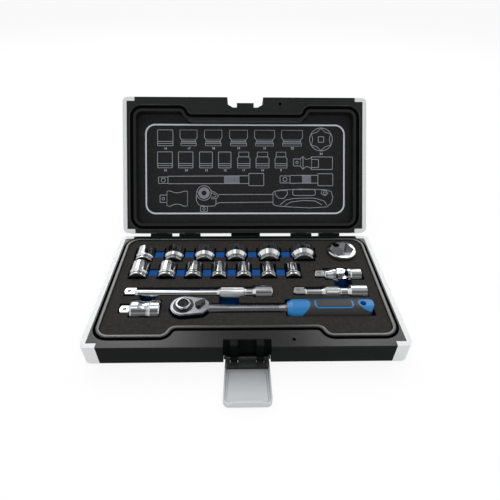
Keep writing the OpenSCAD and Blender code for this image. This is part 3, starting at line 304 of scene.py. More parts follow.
def plain_mesh(item):
    """What an object with a modifier, or a text object, looks like, as a mesh."""
    bpy.context.view_layer.update()
    graph = bpy.context.evaluated_depsgraph_get()
    mesh = bpy.data.meshes.new_from_object(item.evaluated_get(graph))
    bpy.data.objects.remove(item)
    return mesh


def grown(tree, seed, inputs, name):
    """Runs a Geometry Nodes tree on a seed mesh and gives the result as a mesh."""
    host = placed(name + " host", seed)
    modifier = host.modifiers.new("grow", "NODES")
    modifier.node_group = tree
    for item in tree.interface.items_tree:
        if item.item_type == "SOCKET" and item.in_out == "INPUT" and item.name in inputs:
            modifier[item.identifier] = inputs[item.name]
    result = plain_mesh(host)
    bpy.data.meshes.remove(seed)
    result.name = name
    return result


def lay_along(mesh, start, axis):
    """Sets a mesh that was built round Z round another axis, at a start in mm."""
    turn = Vector((0, 0, 1)).rotation_difference(Vector(axis)).to_matrix().to_4x4()
    mesh.transform(Matrix.Translation(Vector(start) * MM) @ turn)


def named_tree(name, sockets):
    """A Geometry Nodes tree with its inputs, each a label, a kind and a start value."""
    tree = bpy.data.node_groups.new(name, "GeometryNodeTree")
    tree.interface.new_socket("Geometry", in_out="INPUT", socket_type="NodeSocketGeometry")
    for label, kind, value in sockets:
        socket = tree.interface.new_socket(label, in_out="INPUT", socket_type=kind)
        if value is not None:
            socket.default_value = value
    tree.interface.new_socket("Geometry", in_out="OUTPUT", socket_type="NodeSocketGeometry")
    return tree, add(tree, "NodeGroupInput"), add(tree, "NodeGroupOutput")


def close_tree(tree, geometry, material, result):
    real = add(tree, "GeometryNodeRealizeInstances", {"Geometry": geometry})
    dressed = add(tree, "GeometryNodeSetMaterial",
                  {"Geometry": real.outputs[0], "Material": material})
    tree.links.new(dressed.outputs[0], result.inputs[0])


# ---------- Knurling ----------
# A knurled band is a cylinder whose side is a lattice of points, every other one
# raised, so that the faces between them make the pointed diamonds of a cut knurl.
def knurl_tree():
    tree, given, result = named_tree("knurled band", [
        ("Radius", "NodeSocketFloat", 0.0065), ("Length", "NodeSocketFloat", 0.02),
        ("Around", "NodeSocketInt", 44), ("Along", "NodeSocketInt", 28),
        ("Depth", "NodeSocketFloat", 0.00025), ("Finish", "NodeSocketMaterial", None)])
    band = add(tree, "GeometryNodeMeshCylinder",
               {"Vertices": given.outputs["Around"], "Side Segments": given.outputs["Along"],
                "Radius": given.outputs["Radius"], "Depth": given.outputs["Length"]},
               fill_type="NGON")
    # Every other point of a row is raised, and the next row the other way about
    index = add(tree, "GeometryNodeInputIndex")
    rows = add(tree, "ShaderNodeMath", {0: index.outputs[0], 1: given.outputs["Around"]},
               operation="DIVIDE")
    row = add(tree, "ShaderNodeMath", {0: rows.outputs[0]}, operation="FLOOR")
    both = add(tree, "ShaderNodeMath", {0: index.outputs[0], 1: row.outputs[0]},
               operation="ADD")
    odd = add(tree, "ShaderNodeMath", {0: both.outputs[0]}, {1: 2.0},
              operation="FLOORED_MODULO")
    # The first and the last row stay down, so that the band ends on its cylinder
    inner = add(tree, "ShaderNodeMath", {0: row.outputs[0]}, {1: 0.5},
                operation="GREATER_THAN")
    last = add(tree, "ShaderNodeMath", {0: given.outputs["Along"]}, {1: 0.5},
               operation="SUBTRACT")
    before = add(tree, "ShaderNodeMath", {0: row.outputs[0], 1: last.outputs[0]},
                 operation="LESS_THAN")
    keep = add(tree, "ShaderNodeMath", {0: inner.outputs[0], 1: before.outputs[0]},
               operation="MULTIPLY")
    raised = add(tree, "ShaderNodeMath", {0: odd.outputs[0], 1: keep.outputs[0]},
                 operation="MULTIPLY")
    height = add(tree, "ShaderNodeMath", {0: raised.outputs[0], 1: given.outputs["Depth"]},
                 operation="MULTIPLY")
    position = add(tree, "GeometryNodeInputPosition")
    flat = add(tree, "ShaderNodeVectorMath", {0: position.outputs[0]},
               {1: (1.0, 1.0, 0.0)}, operation="MULTIPLY")
    outward = add(tree, "ShaderNodeVectorMath", {0: flat.outputs[0]}, operation="NORMALIZE")
    push = add(tree, "ShaderNodeVectorMath",
               {0: outward.outputs[0], "Scale": height.outputs[0]}, operation="SCALE")
    cut = add(tree, "GeometryNodeSetPosition",
              {"Geometry": band.outputs["Mesh"], "Offset": push.outputs[0]})
    close_tree(tree, cut.outputs[0], given.outputs["Finish"], result)
    return tree


KNURL = knurl_tree()


def knurled_band(body, middle, axis, radius, length, pitch, material=CHROME):
    """A band of diamonds round an axis; middle, radius, length and pitch in mm."""
    name = f"{body}_knurl"
    around = 2 * round(math.pi * radius / pitch)
    along = max(4, 2 * round(length / pitch / 2))
    mesh = grown(KNURL, bpy.data.meshes.new("seed"),
                 {"Radius": radius * MM, "Length": length * MM, "Around": around,
                  "Along": along, "Depth": KNURL_DEPTH * MM, "Finish": material}, name)
    lay_along(mesh, middle, axis)
    object_from(mesh, name, body, material)


def ring_tree():
    """A round wire bent into a circle: the rounded crest of a turned shoulder."""
    tree, given, result = named_tree("turned ring", [
        ("Radius", "NodeSocketFloat", 0.01), ("Round", "NodeSocketFloat", 0.0004),
        ("Finish", "NodeSocketMaterial", None)])
    path = add(tree, "GeometryNodeCurvePrimitiveCircle", {"Radius": given.outputs["Radius"]},
               {"Resolution": 56})
    section = add(tree, "GeometryNodeCurvePrimitiveCircle",
                  {"Radius": given.outputs["Round"]}, {"Resolution": 10})
    ring = add(tree, "GeometryNodeCurveToMesh",
               {"Curve": path.outputs[0], "Profile Curve": section.outputs[0]})
    close_tree(tree, ring.outputs[0], given.outputs["Finish"], result)
    return tree


RING = ring_tree()


def rolled_edges(body, start, axis, radius):
    """The lathe leaves a socket's shoulders rounded, and each crest carries a bright
    line; start is the middle of the drive end, in mm."""
    name = f"{body}_edges"
    gathered = bmesh.new()
    for along, sink, crest in CRESTS:
        mesh = grown(RING, bpy.data.meshes.new("seed"),
                     {"Radius": (radius - sink) * MM, "Round": crest * MM,
                      "Finish": CHROME}, name)
        lay_along(mesh, Vector(start) + Vector(axis) * along, axis)
        gathered.from_mesh(mesh)
        bpy.data.meshes.remove(mesh)
    for face in gathered.faces:
        face.smooth = True
    object_from(mesh_from(gathered, name), name, body, CHROME)


# Places of the tools, as in the part's source, in mm. A lying socket's place is the
# middle of its drive end, and its axis runs along Y.
BACK_ROW = {"sizes": (16, 17, 18, 19, 21, 22), "y": 37.3,
            "x": (-114.25, -81.1, -46.6, -10.95, 26.35, 65.15),
            "z": (17, 17, 17, 17, 17, 17.3), "hex_d": (22, 23.7, 24.7, 26, 28, 29),
            "drive_d": (20.8, 20.6, 21, 21.8, 23, 24.6)}
FRONT_ROW = {"sizes": (15, 14, 13, 12, 11, 10, 9), "y": 9.0,
             "x": (-114.75, -84.9, -56.25, -28.95, -2.45, 24.05, 50.55),
             "z": (19,) * 7, "hex_d": (21, 19.7, 18.3, 17, 16, 15, 13.5),
             "drive_d": (19.4, 19, 18.6, 17, 17, 17, 17)}
UPRIGHT_X, UPRIGHT_Y, UPRIGHT_Z = 109.25, 51.1, 2.8
LONG_X, SHORT_X, BAR_Y, BAR_Z = -122.85, 47.85, -11.7, 18.8

# A knurled band's cut, and the distance between its diamonds in a socket's turned
# groove and on an extension's grip, in mm
KNURL_DEPTH, FINE_PITCH, GRIP_PITCH = 0.3, 0.7, 1.05
# The band in a socket's groove: its middle from the drive end, its length and how
# far it lies below the socket's side, in mm
GROOVE_AT, GROOVE_LENGTH, GROOVE_SINK = 3.55, 1.3, 0.52
UPRIGHT_BAND_RADIUS = 11.48
# The crests beside that groove: distance from the drive end, depth below the
# socket's side and roundness, in mm
CRESTS = ((0.6, 0.5, 0.6), (2.3, 0.3, 0.45), (4.8, 0.25, 0.4))
# The grips of the extensions: middle and length along X, and radius, in mm
LONG_GRIP_AT, LONG_GRIP, SHORT_GRIP_AT, SHORT_GRIP = 108.5, 24.4, 39.5, 14.4
GRIP_RADIUS = 6.45

# Each socket's groove band is dark steel: painted shade in the groove
for row in (BACK_ROW, FRONT_ROW):
    for size, x, z, drive_d in zip(row["sizes"], row["x"], row["z"], row["drive_d"]):
        body, radius = f"socket_{size}", drive_d / 2
        knurled_band(body, (x, row["y"] + GROOVE_AT, z), (0, 1, 0), radius - GROOVE_SINK,
                     GROOVE_LENGTH, FINE_PITCH, DARK_STEEL)
        rolled_edges(body, (x, row["y"], z), (0, 1, 0), radius)
knurled_band("socket_24", (UPRIGHT_X, UPRIGHT_Y, UPRIGHT_Z + GROOVE_AT), (0, 0, 1),
             UPRIGHT_BAND_RADIUS, GROOVE_LENGTH, FINE_PITCH, DARK_STEEL)
for body, middle, length in (("long_extension", LONG_X + LONG_GRIP_AT, LONG_GRIP),
                             ("short_extension", SHORT_X + SHORT_GRIP_AT, SHORT_GRIP)):
    knurled_band(body, (middle, BAR_Y, BAR_Z), (1, 0, 0), GRIP_RADIUS, length, GRIP_PITCH)


# ---------- Rim bead ----------
# The tongue round the tray, whose middle line guides everything on the rims, in mm:
# half its width, its back, its deep corners and its shallow middle in front, the
# radii of its corners, the place and radius of its front steps, and its crest
WELL_X, WELL_BACK, WELL_CORNER, WELL_MIDDLE = 136.3, 75, 69.5, 59
BACK_R, FRONT_R, STEP_X, STEP_R, RIM_TOP = 13, 12, 71.5, 8, 23
BEAD_WIDTH, BEAD_HEIGHT, BEAD_ROUND = 3.3, 2.3, 0.7
CORNER_STEPS, BEND_STEPS = 14, 8


def arc_points(x, y, r, start, end, steps, skip=0):
    """Points of an arc between two angles in degrees, less the first few of them."""
    turns = [math.radians(start + (end - start) * i / steps) for i in range(skip, steps + 1)]
    return [(x + r * math.cos(a), y + r * math.sin(a)) for a in turns]


def rim_outline(wider=0.0):
    """The tongue's middle line, or a line that much outside it, from the front step
    round the right side to the back, and then mirrored, in mm."""
    bend = math.degrees(math.acos(1 - (WELL_CORNER - WELL_MIDDLE) / (2 * STEP_R)))
    run = STEP_R * math.sin(math.radians(bend))
    half = (arc_points(STEP_X - run, -WELL_MIDDLE - STEP_R, STEP_R - wider,
                       90, 90 - bend, BEND_STEPS)
            + arc_points(STEP_X + run, -WELL_CORNER + STEP_R, STEP_R + wider,
                         270 - bend, 270, BEND_STEPS, 1)
            + arc_points(WELL_X - FRONT_R, -WELL_CORNER + FRONT_R, FRONT_R + wider,
                         270, 360, CORNER_STEPS)
            + arc_points(WELL_X - BACK_R, WELL_BACK - BACK_R, BACK_R + wider,
                         0, 90, CORNER_STEPS))
    return half + [(-x, y) for x, y in reversed(half)]


def bead_tree():
    """A bar with rounded edges, swept along the outline that comes in as a mesh."""
    tree, given, result = named_tree("rounded bead", [
        ("Width", "NodeSocketFloat", 0.0033), ("Height", "NodeSocketFloat", 0.0023),
        ("Rounding", "NodeSocketFloat", 0.0007), ("Finish", "NodeSocketMaterial", None)])
    path = add(tree, "GeometryNodeMeshToCurve", {"Mesh": given.outputs[0]})
    upright = add(tree, "GeometryNodeSetCurveNormal", {"Curve": path.outputs[0]},
                  mode="Z_UP")
    block = add(tree, "GeometryNodeCurvePrimitiveQuadrilateral",
                {"Width": given.outputs["Width"], "Height": given.outputs["Height"]})
    section = add(tree, "GeometryNodeFilletCurve",
                  {"Curve": block.outputs[0], "Radius": given.outputs["Rounding"]},
                  {"Count": 4}, mode="POLY")
    bead = add(tree, "GeometryNodeCurveToMesh",
               {"Curve": upright.outputs[0], "Profile Curve": section.outputs[0]})
    close_tree(tree, bead.outputs[0], given.outputs["Finish"], result)
    return tree


OUTLINE = rim_outline()
guide = bpy.data.meshes.new("rim outline")
guide.from_pydata([Vector((x, y, RIM_TOP)) * MM for x, y in OUTLINE],
                  [(i, (i + 1) % len(OUTLINE)) for i in range(len(OUTLINE))], [])
# The bead takes the lighter black: a painted highlight
bead_mesh = grown(bead_tree(), guide,
                  {"Width": BEAD_WIDTH * MM, "Height": BEAD_HEIGHT * MM,
                   "Rounding": BEAD_ROUND * MM, "Finish": LIT_BEAD_ABS}, "rim_bead")
object_from(bead_mesh, "rim_bead", "case_base", LIT_BEAD_ABS)


# ---------- Painted shade in the grooves, and the lid's lip ---
def swept(name, loops, body, material, smooth=False):
    """A closed ring, from loops of equally many points round it."""
    ring = bmesh.new()
    rows = [[ring.verts.new(p) for p in loop] for loop in loops]
    for here, after in zip(rows, rows[1:] + rows[:1]):
        for i in range(len(here)):
            j = (i + 1) % len(here)
            ring.faces.new((here[i], here[j], after[j], after[i])).smooth = smooth
    object_from(mesh_from(ring, name), name, body, material)


HINGE_Y, HINGE_Z, LID_ANGLE = 84.5, 22.3, math.radians(127.4)
# The trench outside the tongue and the groove for it in the lid, each between two
# distances from the tongue's middle line; the trench's inner wall, which reaches the
# rim's top; and how near that top a groove's faces lie, in mm
TRENCH, GROOVE, TRENCH_WALL, NEAR_TOP, LEVEL_PLAY = (1.3, 4.7), (-2.0, 2.0), 2.7, 1.6, 0.1
FAR = 1e9
# The lip's section: its middle's distance from that line, its height on the closed
# lid, half its width and its drop, in mm
LIP_AWAY, LIP_Z, LIP_HALF, LIP_DROP = 3.2, 23.1, 0.6, 0.8


def opened(x, y, z):
    """Where a point of the closed lid, in mm, lies on the open lid."""
    y, z = y - HINGE_Y, z - HINGE_Z
    cos, sin = math.cos(LID_ANGLE), math.sin(LID_ANGLE)
    return Vector((x, HINGE_Y + y * cos + z * sin, HINGE_Z - y * sin + z * cos)) * MM


def outside(x, y):
    """How far a point lies outside the tongue's middle line, in mm."""
    nearest, inside = FAR, False
    for (ax, ay), (bx, by) in zip(OUTLINE, OUTLINE[1:] + OUTLINE[:1]):
        length = (bx - ax) ** 2 + (by - ay) ** 2
        share = ((x - ax) * (bx - ax) + (y - ay) * (by - ay)) / length
        share = min(1.0, max(0.0, share))
        nearest = min(nearest, math.hypot(x - ax - share * (bx - ax),
                                          y - ay - share * (by - ay)))
        if (ay > y) != (by > y) and x < ax + (y - ay) * (bx - ax) / (by - ay):
            inside = not inside
    return -nearest if inside else nearest


def leave_rough(node, between, sunk, turned):
    """Gives the faces of a groove in a rim, between two distances from the middle line, a rough
    near-black finish: painted shade. A face's corners are pairs of distance and height on the
    closed case, which turned gives, and sunk tells from them if the face is one."""
    node.data.materials.append(PAINTED_SHADE_ABS)
    seen = {}
    for face in node.data.polygons:
        for corner in face.vertices:
            if corner not in seen:
                place = turned @ node.data.vertices[corner].co / MM
                near = abs(place.z - RIM_TOP) < NEAR_TOP
                seen[corner] = (outside(place.x, place.y) if near else FAR, place.z)
        spots = [seen[corner] for corner in face.vertices]
        if all(between[0] < away < between[1] for away, z in spots) and sunk(spots):
            face.material_index = 1


def trench_face(spots):
    """A face below the rim's top, or on the wall next to the tongue."""
    return (min(z for away, z in spots) < RIM_TOP - LEVEL_PLAY
            or max(away for away, z in spots) < TRENCH_WALL)


def groove_face(spots):
    """A face of the lid's groove, which lies above the closed lid's edge."""
    return max(z for away, z in spots) > RIM_TOP + LEVEL_PLAY


hinge_place = Vector((0, HINGE_Y, HINGE_Z)) * MM
closing = (Matrix.Translation(hinge_place) @ Matrix.Rotation(LID_ANGLE, 4, "X")
           @ Matrix.Translation(-hinge_place))
# The trench and the lid's groove get near-black painted shade
leave_rough(node_of["base_rim"], TRENCH, trench_face, Matrix.Identity(4))
leave_rough(node_of["lid_rim"], GROOVE, groove_face, closing)

# The lid's lip, which drops into the trench, has a rounded crest; its lighter colour is a
# painted highlight along it
LIP = [(LIP_AWAY + LIP_HALF * math.cos(a), LIP_Z - LIP_DROP * math.sin(a))
       for a in [math.radians(30 * i) for i in range(7)]]
swept("lid_lip", [[opened(x, y, z) for x, y in rim_outline(wider)] for wider, z in LIP],
      "lid", LIT_LIP_ABS, True)


# ---------- Latch recess sill ----------
# A thin web closes the recess's open foot behind the latch's root, in mm. It is near-black:
# painted shade in the recess.
SILL_MIDDLE, SILL_SIZE = (0, -75.6, 0.35), (42.6, 4.6, 0.5)

sill = bmesh.new()
bmesh.ops.create_cube(sill, size=1.0)
for vert in sill.verts:
    vert.co = Vector([middle + size * share for middle, size, share
                      in zip(SILL_MIDDLE, SILL_SIZE, vert.co)]) * MM
object_from(mesh_from(sill, "recess_sill"), "recess_sill", "case_base",
            PAINTED_SHADE_ABS)


# ---------- Latch frame ----------
# A low step with a sloped inner edge runs round the inside of the latch's tray. It
# is laid out in mm on the open latch: X across, and the reach from its pin.
LATCH_Y, LATCH_LENGTH, LATCH_CORNER = -80.6, 44.776, 5
ROOT_HALF, END_HALF, TRAY_FLOOR = 19.7, 20.6, 2.2
# The step's section as four loops: how far each lies inside the latch's edge, where
# its root side lies, and its height over the tray's floor
FRAME_LOOPS = ((1.35, 9.6, -0.2), (1.35, 9.6, 0.7), (3.0, 11.2, 0.7), (3.7, 12.0, -0.2))


def latch_loop(inset, root, z):
    """The latch's outline, moved in by inset and cut off at the reach root."""
    corner = LATCH_CORNER - inset
    x, out = END_HALF - LATCH_CORNER, LATCH_LENGTH - LATCH_CORNER
    points = ([(-ROOT_HALF + inset, root), (ROOT_HALF - inset, root)]
              + arc_points(x, out, corner, 0, 90, 6) + arc_points(-x, out, corner, 90, 180, 6))
    return [Vector((px, LATCH_Y - reach, z)) * MM for px, reach in points]


swept("latch_frame", [latch_loop(inset, root, TRAY_FLOOR + rise)
                      for inset, root, rise in FRAME_LOOPS],
      "latch", LATCH_LACQUER)


# ---------- Numbers ----------
# A numeral's height as a share of its text size
DIGIT_SHARE = 0.7
# A stamped number's height, depth and rise over the socket's side, and the longest
# edge that is left whole where it is wrapped round, in mm
STAMP_HEIGHT, STAMP_DEPTH, STAMP_PROUD, STAMP_EDGE = 4.2, 0.16, 0.02, 1.2
# Its place from the drive end of a lying socket and of the upright one, and the
# upright one's radius, in mm
STAMP_AT, UPRIGHT_STAMP_AT, UPRIGHT_RADIUS = 17, 18, 16
SAME_POINT = 1e-7


def number_mesh(text, height, thick):
    """Plain numerals, height in mm, lying on the XY plane, as a closed mesh in mm."""
    curve = bpy.data.curves.new("numerals", "FONT")
    curve.body = text
    curve.align_x = "CENTER"
    curve.align_y = "CENTER"
    curve.size = height / DIGIT_SHARE
    curve.extrude = thick / 2
    curve.resolution_u = 3
    mesh = plain_mesh(placed("numerals", curve))
    bpy.data.curves.remove(curve)
    return mesh


def stamped_size(size, radius, place, along, up):
    """A size number wrapped round a socket's side; place is on the socket's axis."""
    name = f"socket_{size}_number"
    flat = number_mesh(str(size), STAMP_HEIGHT, STAMP_DEPTH)
    digits = bmesh.new()
    digits.from_mesh(flat)
    bpy.data.meshes.remove(flat)
    bmesh.ops.subdivide_edges(
        digits, edges=[e for e in digits.edges if e.calc_length() > STAMP_EDGE], cuts=2)
    along, up = Vector(along), Vector(up)
    side = up.cross(along)
    for vert in digits.verts:
        angle = vert.co.x / radius
        reach = radius + vert.co.z + STAMP_PROUD
        vert.co = (Vector(place) + along * vert.co.y
                   + (up * math.cos(angle) - side * math.sin(angle)) * reach) * MM
    bmesh.ops.remove_doubles(digits, verts=digits.verts, dist=SAME_POINT)
    object_from(mesh_from(digits, name), name, f"socket_{size}", STAMP_DARK)


for row in (BACK_ROW, FRONT_ROW):
    for size, x, z, hex_d in zip(row["sizes"], row["x"], row["z"], row["hex_d"]):
        stamped_size(size, hex_d / 2, (x, row["y"] + STAMP_AT, z), (0, 1, 0), (0, 0, 1))
stamped_size(24, UPRIGHT_RADIUS, (UPRIGHT_X, UPRIGHT_Y, UPRIGHT_Z + UPRIGHT_STAMP_AT),
             (0, 0, 1), (0, -1, 0))


# ---------- Printed layout on the lid's pad ----------
# The drawing is laid out in mm: across from the middle, and up from the lid's
# hinge edge, and then set on the pad of the open lid.
REAR_Y, PAD_DEPTH = 81.7, 12.0
# How far the ink's middle lies over the pad, and its thickness, in mm
INK_PROUD, INK_THICK, PATCH_THICK = 0.06, 0.05, 0.04
BORDER_WIDTH, LINE_WIDTH, LABEL_HEIGHT = 1.9, 0.62, 2.6


def on_pad(x, v, proud=INK_PROUD):
    """A point of the drawing on the pad of the open lid."""
    return opened(x, REAR_Y - v, RIM_TOP + PAD_DEPTH - proud)


def rounded(x0, v0, x1, v1, r, steps=2):
    """A rectangle between two corners, with rounded corners."""
    points = []
    for cx, cv, turn in ((x1 - r, v1 - r, 0), (x0 + r, v1 - r, 90),
                         (x0 + r, v0 + r, 180), (x1 - r, v0 + r, 270)):
        points += arc_points(cx, cv, r, turn, turn + 90, steps)
    return points


def circle(cx, cv, r, steps=28, start=0.0):
    return [(cx + r * math.cos(2 * math.pi * i / steps + start),
             cv + r * math.sin(2 * math.pi * i / steps + start)) for i in range(steps)]


closed_lines, open_lines, filled = [], [], []


def draw_socket(x0, x1, top, bottom, kind):
    """Side view of a socket between x0 and x1: its hex end up, its knurled drive end
    down. Heights are shares of the whole, and the rest is in mm."""
    def up(share):
        return bottom + share * (top - bottom)

    if kind == "straight":
        closed_lines.append(rounded(x0, bottom, x1, top, 0.6))
    elif kind == "wide":
        waist, flare, inset = 0.08 * (x1 - x0) + 0.5, 1.1, 0.4
        left, right = x0 + waist, x1 - waist
        closed_lines.append([
            (x0, top), (x1, top), (x1, up(0.52)), (right, up(0.38)), (right, up(0.26)),
            (right + flare, up(0.17)), (right + flare, bottom), (left - flare, bottom),
            (left - flare, up(0.17)), (left, up(0.26)), (left, up(0.38)), (x0, up(0.52))])
        filled.append([(left + inset, up(0.14) + 0.5), (right - inset, up(0.14) + 0.5),
                       (right - inset, up(0.44)), (left + inset, up(0.44))])
        x0, x1 = left - 0.8, right + 0.8
    else:
        nose = 0.1 * (x1 - x0)
        left, right = x0 + nose, x1 - nose
        closed_lines.append([
            (left, top), (right, top), (right, up(0.7)), (x1, up(0.58)), (x1, bottom),
            (x0, bottom), (x0, up(0.58)), (left, up(0.7))])
        open_lines.append([(left, up(0.7)), (right, up(0.7))])
    for share in (0.27, 0.14):
        open_lines.append([(x0, up(share)), (x1, up(share))])


# Drawings of the lying sockets by size: left side, right side and shape
UPPER = {16: (-108, -89.1, "straight"), 17: (-80.4, -59.4, "wide"),
         18: (-50.3, -28.8, "wide"), 19: (-19.4, 2.8, "wide"),
         21: (11.5, 36.3, "wide"), 22: (45, 71.1, "wide")}
LOWER = {15: (-108.2, -89.9, "straight"), 14: (-82.4, -64.6, "straight"),
         13: (-56.5, -40.6, "straight"), 12: (-33.1, -17.7, "straight"),
         11: (-9.6, 5.8, "nosed"), 10: (13.3, 29.4, "nosed"), 9: (36.9, 51.8, "nosed")}
for x0, x1, kind in UPPER.values():
    draw_socket(x0, x1, 127.4, 108, kind)
for x0, x1, kind in LOWER.values():
    draw_socket(x0, x1, 100.4, 80.8, kind)

# The upright socket from above: its rim, hexagon and drive square
TOP_X, TOP_V = 94.1, 116.2
tips = circle(TOP_X, TOP_V, 13.8, 6, 0.52)
dips = circle(TOP_X, TOP_V, 10.3, 6, 1.05)
closed_lines += [circle(TOP_X, TOP_V, 14.2), [p for pair in zip(tips, dips) for p in pair],
                 rounded(90.7, 112.8, 97.5, 119.6, 0.5)]
# Universal joint
closed_lines += [rounded(59.9, 83.4, 68.6, 92, 0.6), rounded(82.3, 79.1, 108.5, 94.6, 1, 3),
                 rounded(82.3, 81.5, 91, 91.5, 0.8), circle(64.2, 87.7, 1.5, 14),
                 [(68.6, 92.7), (71.7, 95.1), (75.4, 91.4), (80.4, 92.7), (82.6, 95.0),
                  (82.6, 78.6), (80.4, 81.5), (75.4, 82.8), (71.7, 79), (68.6, 82.8)]]
open_lines.append([(71.7, 95.1), (71.7, 79)])
# Long and short extension, with their knurled grips as solid bands
closed_lines += [rounded(-107.1, 61.5, -95.5, 69.5, 0.8), circle(-101.3, 65.5, 2.5, 18),
                 rounded(4.3, 58.8, 22.9, 74, 0.8),
                 rounded(43.1, 62.3, 55.5, 71, 0.8), circle(49.3, 66.6, 2.5, 18),
                 rounded(90.2, 58.9, 108.9, 73.8, 0.8)]
open_lines += [[(-95.5, 70.4), (4.3, 71.1)], [(-95.5, 61.2), (4.3, 61.5)],
               [(55.5, 71.6), (90.2, 71.9)], [(55.5, 61.9), (90.2, 62.2)]]
bands = [[(-26.4, 61.4), (-7.2, 61.4), (-7.2, 70.9), (-26.4, 70.7)],
         [(70.5, 62.2), (81.7, 62.3), (81.7, 71.7), (70.5, 71.6)]]
# Adapter
closed_lines += [rounded(-105.4, 38.1, -96.8, 47.3, 0.6), circle(-101.4, 42.7, 1.6, 14),
                 [(-96.8, 51.7), (-93.1, 52.5), (-88.8, 50.6), (-84.5, 49.9), (-80.2, 50.4),
                  (-75.9, 52), (-71.5, 51.9), (-71.6, 33.8), (-75.9, 33.4), (-80.2, 35.4),
                  (-84.6, 36), (-88.9, 35.4), (-93.2, 33.4), (-96.9, 34)]]
# Ratchet: its head and shank, lever, and the ridges of its handle
open_lines += [[(-59.2, 52.9), (-60.8, 46.1), (-60.5, 40), (-57.4, 35), (-48.8, 33.4),
                (-38.3, 33.8), (-36.4, 36), (-32.7, 37.9), (34.3, 38.5)],
               [(-33.3, 47.9), (34.3, 48.1)], [(-36.4, 36), (-36.4, 43.2)],
               [(-42.5, 52.9), (-36.4, 49.8), (-33.3, 46.1), (-35.8, 43), (-42.3, 42.4)],
               [(-44, 51), (-38, 48.4), (-36.2, 46.2), (-38, 44.6), (-42.4, 44.6)],
               [(43, 35), (50.5, 41.2), (60, 43), (76, 43.6), (86.7, 43.4), (97.9, 40),
                (101.7, 34.4)],
               [(49.2, 34.4), (56.7, 38.7), (71.7, 40.5), (86.7, 40), (95.4, 35)]]
# The dial's circles and its solid ring, and the drive square with its ball
DIAL_X, DIAL_V = -51.2, 49.8
closed_lines += [circle(DIAL_X, DIAL_V, 9, 32), circle(DIAL_X, DIAL_V, 6.6, 26),
                 circle(DIAL_X, DIAL_V, 3.6, 18), rounded(-55.6, 27, -47, 33.2, 0.5),
                 circle(-51.3, 30.1, 1.6, 14)]
ring_fill = [circle(DIAL_X, DIAL_V, 6.4, 32), circle(DIAL_X, DIAL_V, 3.8, 32)]
# The handle's outline, its front piece, label and hanging hole
closed_lines += [[(34.3, 50.5), (34.3, 35.6), (39.3, 33.8), (55.5, 32.5), (80.4, 31.3),
                  (101.7, 32.7), (107.3, 37.5), (109, 44.9), (106.7, 51.8), (99.2, 54.1),
                  (68, 54.6), (43, 53.6), (36.8, 52)],
                 [(36.8, 52.4), (51.8, 53), (52.4, 48.6), (48, 43.1), (41.8, 43.1),
                  (37.4, 47.4)], rounded(58.8, 46.8, 87, 54.1, 2.4, 4),
                 [(95.4, 53), (100.4, 53), (102.9, 49.3), (99.2, 46.2), (94.2, 49.3)],
                 circle(98.8, 49.6, 1.8, 14)]


def ink_tree():
    """Turns drawn paths into flat ribbons of ink with a small thickness."""
    tree, given, result = named_tree("ink line", [
        ("Width", "NodeSocketFloat", 0.001), ("Thickness", "NodeSocketFloat", 0.00005),
        ("Finish", "NodeSocketMaterial", None)])
    path = add(tree, "GeometryNodeMeshToCurve", {"Mesh": given.outputs[0]})
    out_of_pad = Vector((0, -math.sin(LID_ANGLE), -math.cos(LID_ANGLE)))
    facing = add(tree, "GeometryNodeSetCurveNormal", {"Curve": path.outputs[0]},
                 {"Normal": out_of_pad}, mode="FREE")
    section = add(tree, "GeometryNodeCurvePrimitiveQuadrilateral",
                  {"Width": given.outputs["Thickness"], "Height": given.outputs["Width"]})
    ribbon = add(tree, "GeometryNodeCurveToMesh",
                 {"Curve": facing.outputs[0], "Profile Curve": section.outputs[0]},
                 {"Fill Caps": True})
    close_tree(tree, ribbon.outputs[0], given.outputs["Finish"], result)
    return tree


def path_mesh(name, loops, strips):
    """Edges only: closed loops and open strips, set on the pad."""
    points, edges = [], []
    for path, shut in [(p, True) for p in loops] + [(p, False) for p in strips]:
        first = len(points)
        points += [on_pad(*p) for p in path]
        edges += [(first + i, first + i + 1) for i in range(len(path) - 1)]
        if shut:
            edges.append((first + len(path) - 1, first))
    mesh = bpy.data.meshes.new(name)
    mesh.from_pydata(points, edges, [])
    return mesh


INK = ink_tree()


def ink_lines(name, loops, strips, width, material):
    """Drawn lines of one width in mm, as one piece of ink."""
    mesh = grown(INK, path_mesh(name, loops, strips),
                 {"Width": width * MM, "Thickness": INK_THICK * MM, "Finish": material},
                 name)
    object_from(mesh, name, "lid", material)


ink_lines("print_border", [rounded(-122.3, 24.5, 122.9, 133.8, 11.5, 10)], [],
          BORDER_WIDTH, PRINT_INK)
ink_lines("print_drawings", closed_lines, open_lines, LINE_WIDTH, LINE_INK)


def ink_patches(name, outlines, rings, material):
    """Solid areas of ink: closed outlines, and rings between two circles."""
    patches = bmesh.new()
    for path in outlines:
        patches.faces.new([patches.verts.new(on_pad(*p)) for p in path])
    for ring in rings:
        outer, inner = [[patches.verts.new(on_pad(*p)) for p in edge] for edge in ring]
        for i in range(len(outer)):
            j = (i + 1) % len(outer)
            patches.faces.new((outer[i], outer[j], inner[j], inner[i]))
    bmesh.ops.solidify(patches, geom=patches.faces[:], thickness=PATCH_THICK * MM)
    object_from(mesh_from(patches, name), name, "lid", material)


ink_patches("print_fills", filled, [], SHADE_INK)
ink_patches("print_bands", bands, [ring_fill], BAND_INK)

